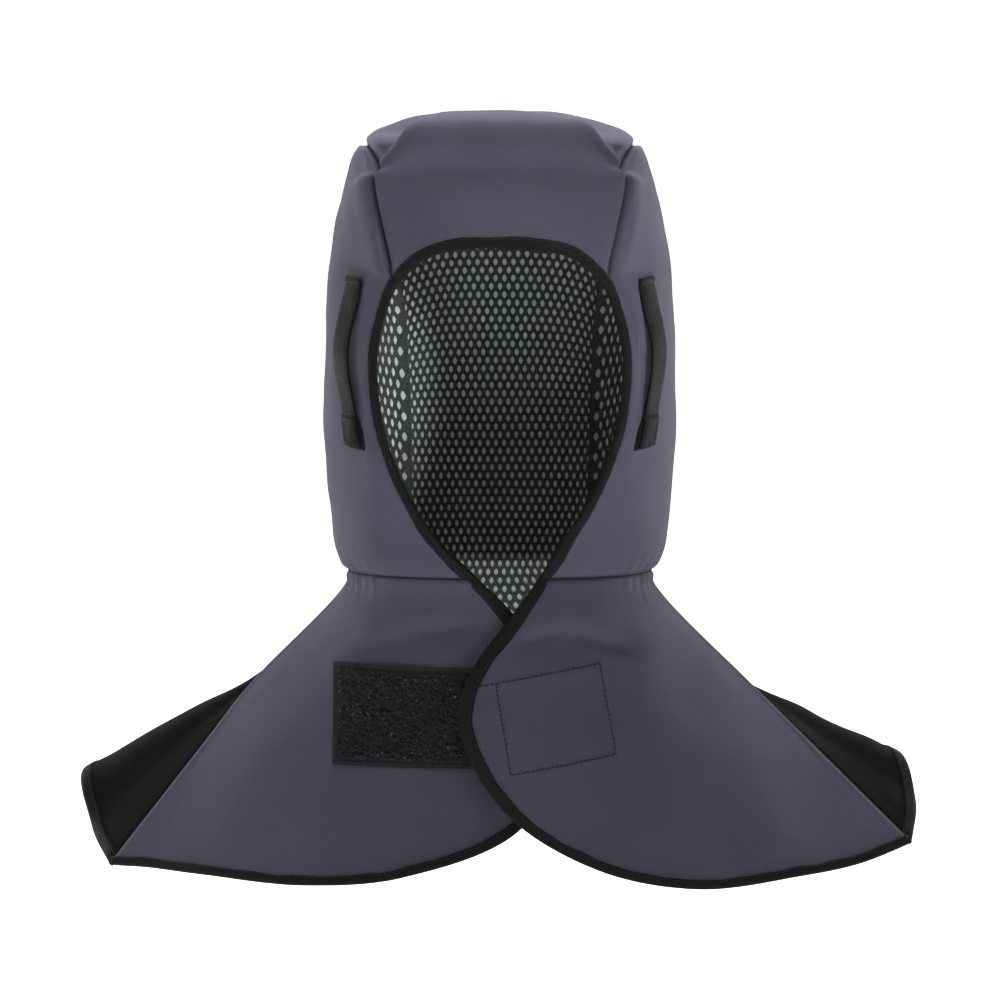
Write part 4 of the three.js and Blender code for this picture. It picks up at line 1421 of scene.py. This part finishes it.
class HEADCOVER_OT_stage(bpy.types.Operator):
    """Pale floor, soft studio light and the camera"""

    bl_idname = "headcover.stage"
    bl_label = "Stage"

    def execute(self, context):
        stage = settings("stage")
        self.floor()
        self.lights(stage)
        self.camera(stage)
        context.scene.view_settings.view_transform = "Standard"
        return {"FINISHED"}

    def floor(self):
        """A floor that turns up into a wall behind the hood."""
        low = cad_box[0][2] - FLOOR_BELOW
        bend = np.linspace(0, math.pi / 2, 25)
        wall_y = WALL_START + WALL_BEND
        y = np.concatenate([[-FLOOR_HALF, -0.4, 0.1], WALL_START + WALL_BEND * np.sin(bend), [wall_y]])
        z = np.concatenate([[low, low, low], low + WALL_BEND * (1 - np.cos(bend)), [low + WALL_HEIGHT]])
        points = [(x, *place) for x in (-FLOOR_HALF, FLOOR_HALF) for place in zip(y, z)]
        count = len(y)
        faces = [(index, index + 1, count + index + 1, count + index) for index in range(count - 1)]
        mesh = bpy.data.meshes.new("studio_floor")
        mesh.from_pydata(points, [], faces)
        mesh.shade_smooth()
        finish = Finish("studio_floor", roughness=0.95, glow=1.0)
        depth = finish.node("ShaderNodeSeparateXYZ", {}, {0: finish.place()}, 1)
        behind = finish.span(depth, GLOW_START, GLOW_FULL)
        finish.feed("Emission Color", finish.blend(behind, shade(WHITE, 0.05), shade(WHITE, 0.85)))
        finish.feed("Base Color", finish.blend(finish.noise(6.0), shade(WHITE, 0.86), shade(WHITE, 0.88)))
        mesh.materials.append(finish.material)
        floor = bpy.data.objects.new("studio_floor", mesh)
        bpy.context.scene.collection.objects.link(floor)

    def lights(self, stage):
        hood = Vector((0, 0, -0.22))
        table = Vector((0, -0.55, -0.535))
        layout = (
            ("key_light", (0.952, -1.523, -0.094), Vector((-0.02, 0, -0.14)), 0.2, stage.key),
            ("left_light", (-1.682, -0.612, -0.032), hood, 0.5, stage.left),
            ("front_light", (0.0, -1.338, 0.984), hood, 0.9, stage.front),
            ("high_light", (0.0, -0.6, 1.0), hood, 0.8, stage.high),
            ("crown_light", (0.0, 0.18, 0.57), hood, 0.6, stage.crown),
            ("left_rim", (-1.466, 1.027, -0.032), hood, 0.5, stage.rim),
            ("right_rim", (1.466, 1.027, -0.032), hood, 0.5, stage.rim),
            ("table_bounce", table, table + Vector((0, 0, 1)), 0.45, stage.bounce),
            ("lining_light", (0.0, -0.92, -0.49), Vector((0, 0.11, -0.115)), 0.1, stage.lining),
        )
        for name, place, aim, size, power in layout:
            data = bpy.data.lights.new(name, "AREA")
            data.shape = "DISK"
            data.size = size
            data.energy = power
            if name in NARROW_SPREADS:
                data.spread = NARROW_SPREADS[name]
            light = bpy.data.objects.new(name, data)
            light.location = place
            light.rotation_mode = "QUATERNION"
            light.rotation_quaternion = (aim - light.location).to_track_quat("-Z", "Y")
            light.visible_camera = False
            bpy.context.scene.collection.objects.link(light)
        world = bpy.data.worlds.new("studio_room")
        world.use_nodes = True
        room = world.node_tree.nodes["Background"]
        room.inputs["Color"].default_value = (*WHITE, 1.0)
        room.inputs["Strength"].default_value = stage.world
        bpy.context.scene.world = world

    def camera(self, stage):
        data = bpy.data.cameras.new("photo_camera")
        data.sensor_width = SENSOR
        data.lens = SENSOR * stage.distance / stage.field
        camera = bpy.data.objects.new("photo_camera", data)
        aim = Vector((0, 0, AIM_Z))
        back = Vector((0, -math.cos(stage.height), math.sin(stage.height)))
        camera.location = aim + back * stage.distance
        camera.rotation_mode = "QUATERNION"
        camera.rotation_quaternion = (-back).to_track_quat("-Z", "Y")
        bpy.context.scene.collection.objects.link(camera)
        bpy.context.scene.camera = camera


class HEADCOVER_OT_shell(bpy.types.Operator):
    """Grey crown panel and side panels of the hood"""

    bl_idname = "headcover.shell"
    bl_label = "Shell"

    def execute(self, context):
        make_cloth("crown", "crown_panel", "grey_twill")
        for name in SIDES:
            make_cloth(f"side_{name}", f"side_panel_{name}", "grey_twill")
        return {"FINISHED"}


class HEADCOVER_OT_lining(bpy.types.Operator):
    """Black net over a pale backing, inside the hood"""

    bl_idname = "headcover.lining"
    bl_label = "Lining"

    def execute(self, context):
        sizes = settings("sizes")
        self.net("crown_net", "crown_lining", crown_net(sizes.nape_net / MM), sizes)
        for name in SIDES:
            self.net(f"side_{name}_net", f"side_lining_{name}", side_net(name), sizes)
        return {"FINISHED"}

    def net(self, name, node, layout, sizes):
        """Makes one piece of the lining, and works out its width and area without keeping them."""
        _, width_at, length = layout
        hole = sizes.net_hole_width / MM, sizes.net_hole_height / MM
        points, faces, kinds = net_mesh(*layout, sizes.net_pitch / MM, sizes.net_row / MM, hole)
        finishes = ("net_threads", "net_backing")
        piece = make_piece(name, (points, faces), finishes, [node], kinds)
        low, high = width_at(np.linspace(0, length, 101))
        width = float(np.max(high - low)) * MM
        area = float(np.mean(high - low)) * length * MM**2
        round(length * MM, 3)


class HEADCOVER_OT_cape(bpy.types.Operator):
    """Grey front flaps and the black back of the cape"""

    bl_idname = "headcover.cape"
    bl_label = "Cape"

    def execute(self, context):
        for name in SIDES:
            make_cloth(f"flap_{name}", f"front_flap_{name}", "grey_twill")
        make_cloth("cape", "back_cape", "black_twill")
        return {"FINISHED"}


def inner_line(lines, reach=6.0):
    """The points of a panel that lie about so far in from its edge. lines[step][point]"""
    gaps = np.linalg.norm(lines - lines[:1], axis=-1)
    step = np.argmax(gaps > reach, axis=0)
    return lines[step, np.arange(lines.shape[1])]


def face_edge_lines():
    """Edge, inner line and outward directions of the face opening, from the left neck over the brow."""
    parts = []
    for name in SIDES:
        panel = panel_named(f"side_{name}")
        keep = denser_ends(SIDE_STEPS[1]) <= BROW_SHARE
        grid = panel.grid[keep].transpose(1, 0, 2)
        part = [grid[0], inner_line(grid), panel.outward[keep][:, 0]]
        parts.append(part if name == "left" else [line[::-1] for line in part])
    crown = panel_named("crown")
    brow = [crown.grid[0], inner_line(crown.grid), crown.outward[0]]
    return [np.concatenate(lines) for lines in zip(parts[0], brow, parts[1])]


def flap_edge_lines(name):
    """The same along a flap's front edge and hem."""
    panel = panel_named(f"flap_{name}")
    columns = panel.grid.transpose(1, 0, 2)[::-1]
    rows = panel.grid[::-1]
    front = [columns[0], inner_line(columns), panel.outward[:, -1]]
    hem = [rows[0][::-1], inner_line(rows)[::-1], panel.outward[-1][::-1]]
    is_left = name == "left"
    laps = [line[TAPE_LAP:0:-1] if is_left else line[-TAPE_LAP:-1] for line in face_edge_lines()]
    laps[0] = laps[0] + laps[2] * TAPE_LAP_RISE
    return [np.concatenate([over, first[:-1], second]) for over, first, second in zip(laps, front, hem)]


def cape_edge_lines():
    """The same along the back cape's hem."""
    panel = panel_named("cape")
    rows = panel.grid[::-1]
    return [rows[0], inner_line(rows), panel.outward[-1]]


def softened(line, times):
    """A line whose kinks are eased."""
    for _ in range(times):
        line = np.concatenate([line[:1], (line[:-2] + 2 * line[1:-1] + line[2:]) / 4, line[-1:]])
    return line


class HEADCOVER_OT_tapes(bpy.types.Operator):
    """Binding tape round the face opening and the cape's edges, with its stitching"""

    bl_idname = "headcover.tapes"
    bl_label = "Tapes"

    def execute(self, context):
        cloth = settings("sizes").cloth / MM
        lined = LINING_TOP + LINING_THICKNESS * EDGE_THINNING + 0.4
        self.tape("face_tape", "face_binding", face_edge_lines(), FACE_TAPE_WIDTHS, lined)
        for name in SIDES:
            lines = flap_edge_lines(name)
            self.tape(f"flap_tape_{name}", f"flap_binding_{name}", lines, FLAP_TAPE_WIDTHS, cloth)
        self.tape("cape_tape", "back_binding", cape_edge_lines(), CAPE_TAPE_WIDTHS, cloth)
        return {"FINISHED"}

    def tape(self, name, node, lines, widths, enclosed):
        """Folds a tape round an edge, and sews it down."""
        sizes = settings("sizes")
        aim, (edge, inner, out) = even_line(lines, TAPE_SPACING)
        edge, inner, out = softened(edge, 8), softened(inner, 16), softened(out, 16)
        edge = stretched_ends(edge, 0.35)
        draw = np.random.default_rng(len(name))
        waves = sum(np.sin(aim * 2 * math.pi / draw.uniform(9, 45) + draw.uniform(0, 6)) for _ in range(5))
        heights, shares = np.array(widths).T
        reach = sizes.tape_reach / MM * np.interp(edge[:, 2], heights, shares) + 0.12 * waves
        sag = 0.0
        if name == "face_tape":
            at_brow = smooth(edge[:, 2], -125, -95)
            sag = at_brow * sum(drop * hump(edge[:, 0], x, width) for x, width, drop in BROW_SAGS)
        rings = tape_rings(edge, inner, out, reach, enclosed, sag)
        count = rings.shape[1]
        weave = np.zeros((rings.size // 3, 3))
        weave[:, 0] = np.repeat(aim, count)
        weave[:, 1] = np.tile(np.arange(count) * 0.8, len(aim))
        make_piece(name, tube(rings), ["tape_weave"], [node], measures={"weave": weave})
        line = mix(rings[:, 2], rings[:, 3], 0.35)
        stitches = stitch_rows(line, out, sizes.stitch / MM, gap=0.8, radius=THREAD)
        make_piece(f"{name}_stitching", stitches, ["sewing_thread"])


class HEADCOVER_OT_straps(bpy.types.Operator):
    """Webbing loops on the side panels, sewn down at both ends"""

    bl_idname = "headcover.straps"
    bl_label = "Straps"

    def execute(self, context):
        for name in SIDES:
            grid, outward, across, up = strap_rings(name)
            ribs = STRAP_RIB_HEIGHT * np.cos(across * math.pi * STRAP_RIBS)[None, :]
            ribs = ribs * np.ones_like(up)[:, None]
            rounded = -0.5 * np.abs(across)[None, :] ** 10
            sewn_low = 1 - smooth(up, 0.17, 0.2)
            doubled = sewn_low + smooth(up, 0.945, 0.965)
            outer = STRAP_TOP + ribs + rounded + doubled[:, None] + 0.12 * crumple(grid, 61, 12, 1.0)
            strap = wall(grid, outward, outer, STRAP_UNDER + 0.95 * sewn_low[:, None])
            end_grid, end_outward = self.turned_end(name, across)
            end = wall(end_grid, end_outward, 1.35, 0.5)
            # Painted light on the webbing: paler on the rib tops, darker in the grooves
            measures = wall_measures(grid, 0.0, np.clip(0.5 + ribs * 2.2, 0, 1))
            # Painted shade on the turned-under end, which lies behind the strap
            end_measures = wall_measures(end_grid, 0.0, 0.2)
            both = {key: np.concatenate([values, end_measures[key]]) for key, values in measures.items()}
            make_piece(f"strap_{name}", joined([strap, end]), ["webbing_ribs"],
                       [f"side_strap_{name}"], measures=both)
            stitches = self.stitching(grid + outward * (outer + 0.1)[..., None], outward)
            make_piece(f"strap_{name}_stitching", stitches, ["sewing_thread"])
        return {"FINISHED"}

    def turned_end(self, name, across):
        """The webbing's end, turned under at the low seam, which peeps out beside it."""
        up = np.linspace(-0.012, 0.2, 30)
        middle = STRAP_LOW_COLUMN - 0.017 + 0.012 * smooth(up, 0.1, 0.2)
        column = middle[:, None] + across[None, :] * STRAP_HALF_COLUMNS * STRAP_WIDTHS[0][1]
        grid = side_surfaces[name](column, mix(STRAP_LOW, STRAP_HIGH, up)[:, None])
        return grid, outward_of(grid, HEAD_MIDDLE)

    def stitching(self, top, outward):
        """Rows of stitches across the sewn ends."""
        parts = []
        for row in (3, 17, len(top) - 4):
            parts.append(stitch_rows(top[row], outward[row], length=1.6, gap=0.5, radius=THREAD))
        for column in (2, -3):
            line, out = top[3:18, column], outward[3:18, column]
            parts.append(stitch_rows(line, out, length=1.8, gap=0.6, radius=THREAD))
        return joined(parts)


class HEADCOVER_OT_patches(bpy.types.Operator):
    """Loop patch on the left flap, hook patch behind the right one, and their stitching"""

    bl_idname = "headcover.patches"
    bl_label = "Patches"

    def execute(self, context):
        self.loop_patch(settings("sizes").stitch / MM)
        self.hook_patch(settings("sizes").stitch / MM)
        return {"FINISHED"}

    def grid(self, name, patch, steps):
        """Places of a patch on a flap, and the directions out of it."""
        grid = patch_places(name, patch, *(np.linspace(0, 1, count + 1) for count in steps))
        return grid, outward_of(grid, CAPE_MIDDLE)

    def loop_patch(self, stitch):
        grid, outward = self.grid("left", LOOP_PATCH, LOOP_PATCH_STEPS)
        edge = np.min(edge_distances(grid), axis=0)
        draw = np.random.default_rng(71)
        loops = draw.normal(size=edge.shape)
        loops = loops + np.roll(loops, 1, axis=0) + np.roll(loops, 1, axis=1)
        pile = smooth(edge, 3.6, 4.6)
        tufts = draw.normal(size=edge.shape)
        for axis in (0, 1, 0, 1):
            tufts = tufts + np.roll(tufts, 1, axis=axis)
        channel = hump(edge, PATCH_BORDER, 0.7)
        outer = PATCH_TOP + pile * (0.75 + 0.16 * loops + 0.1 * tufts) - 0.5 * channel
        make_piece("loop_patch_pile", wall(grid, outward, outer, 0.7), ["hook_and_loop_pile"],
                   ["loop_patch"], measures=wall_measures(grid, 0.0, pile))
        box = self.box_line(grid + outward * PATCH_TOP, outward, 6)
        stitches = stitch_rows(*box, stitch, gap=0.7, radius=PATCH_THREAD)
        make_piece("loop_patch_stitching", stitches, ["sewing_thread"])

    def hook_patch(self, stitch):
        grid, outward = self.grid("right", HOOK_PATCH, HOOK_PATCH_STEPS)
        back = -(settings("sizes").cloth / MM) - HOOK_GAP
        parts = [wall(grid, outward, back, back - HOOK_GROUND)]
        turn = np.arange(4) * math.pi / 2
        for row in range(4, len(grid) - 4, 2):
            for column in range(4, grid.shape[1] - 4, 2):
                foot = grid[row, column] + outward[row, column] * (back - HOOK_FOOT)
                up = -outward[row, column]
                aside = unit(grid[row, column + 1] - grid[row, column])
                spread = np.cos(turn)[:, None] * aside + np.sin(turn)[:, None] * np.cross(up, aside)
                rings = [foot + up * rise + aside * lean + spread * size for rise, size, lean in HOOK_RINGS]
                parts.append(tube(np.array(rings)))
        points, faces = joined(parts)
        make_piece("hook_patch_pile", (points, faces), ["hook_and_loop_pile"],
                   ["hook_patch"], measures={"wear": np.zeros(len(points))})
        panel = panel_named("flap_right")
        box = self.box_line(self.on_flap(panel, grid), outward, 0)
        run_on = patch_places("right", HOOK_PATCH, np.linspace(-0.16, -0.01, 12), np.zeros(1))
        run_on = self.on_flap(panel, run_on)[0]
        run_out = np.tile(outward[0, 0], (len(run_on), 1))
        stitches = [
            stitch_rows(*line, stitch, gap=0.6, radius=CLOSURE_THREAD) for line in (box, (run_on, run_out))
        ]
        make_piece("closure_stitching", joined(stitches), ["sewing_thread"])

    def on_flap(self, panel, grid):
        """The places of a grid on the outer face of a flap, with its small waves."""
        flat = panel.smooth.reshape(-1, 3)
        moved = panel.moved.ravel()
        outward = panel.outward.reshape(-1, 3)
        lifted = np.empty_like(grid)
        for index in np.ndindex(grid.shape[:2]):
            nearest = np.argmin(np.sum((flat - grid[index]) ** 2, axis=-1))
            lifted[index] = grid[index] + outward[nearest] * (moved[nearest] + 0.12)
        return lifted

    def box_line(self, grid, outward, inset):
        """Line and outward directions round a grid, so many steps in from its edges."""
        row, column = len(grid) - 1 - inset, grid.shape[1] - 1 - inset
        lines = []
        for field in (grid, outward):
            lines.append(np.concatenate([
                field[inset, inset:column], field[inset:row, column],
                field[row, column:inset:-1], field[row:inset:-1, inset], field[inset:inset + 1, inset],
            ]))
        return lines


class HEADCOVER_PT_panel(bpy.types.Panel):
    """Steps that build the head cover"""

    bl_idname = "HEADCOVER_PT_panel"
    bl_label = "Welding Head Cover"
    bl_space_type = "VIEW_3D"
    bl_region_type = "UI"
    bl_category = "Head Cover"

    def draw(self, context):
        for step in STEPS:
            self.layout.operator(step.bl_idname)
        for name in GROUPS:
            group = getattr(context.scene, name)
            box = self.layout.box()
            for field in group.__annotations__:
                box.prop(group, field)


STEPS = (
    HEADCOVER_OT_stage,
    HEADCOVER_OT_tapes,
    HEADCOVER_OT_straps,
    HEADCOVER_OT_patches,
    HEADCOVER_OT_lining,
    HEADCOVER_OT_shell,
    HEADCOVER_OT_cape,
)
GROUPS = {
    "head_cover_sizes": HeadCoverSizes,
    "head_cover_colours": HeadCoverColours,
    "head_cover_stage": HeadCoverStage,
}


def register():
    for group in GROUPS.values():
        bpy.utils.register_class(group)
    for name, group in GROUPS.items():
        setattr(bpy.types.Scene, name, PointerProperty(type=group))
    for step in (*STEPS, HEADCOVER_PT_panel):
        bpy.utils.register_class(step)


def unregister():
    for step in (HEADCOVER_PT_panel, *reversed(STEPS)):
        bpy.utils.unregister_class(step)
    for name in GROUPS:
        delattr(bpy.types.Scene, name)
    for group in reversed(GROUPS.values()):
        bpy.utils.unregister_class(group)


def main():
    register()
    bpy.ops.headcover.stage()
    bpy.ops.headcover.tapes()
    bpy.ops.headcover.straps()
    bpy.ops.headcover.patches()
    bpy.ops.headcover.lining()
    bpy.ops.headcover.shell()
    bpy.ops.headcover.cape()


if __name__ == "__main__":
    main()
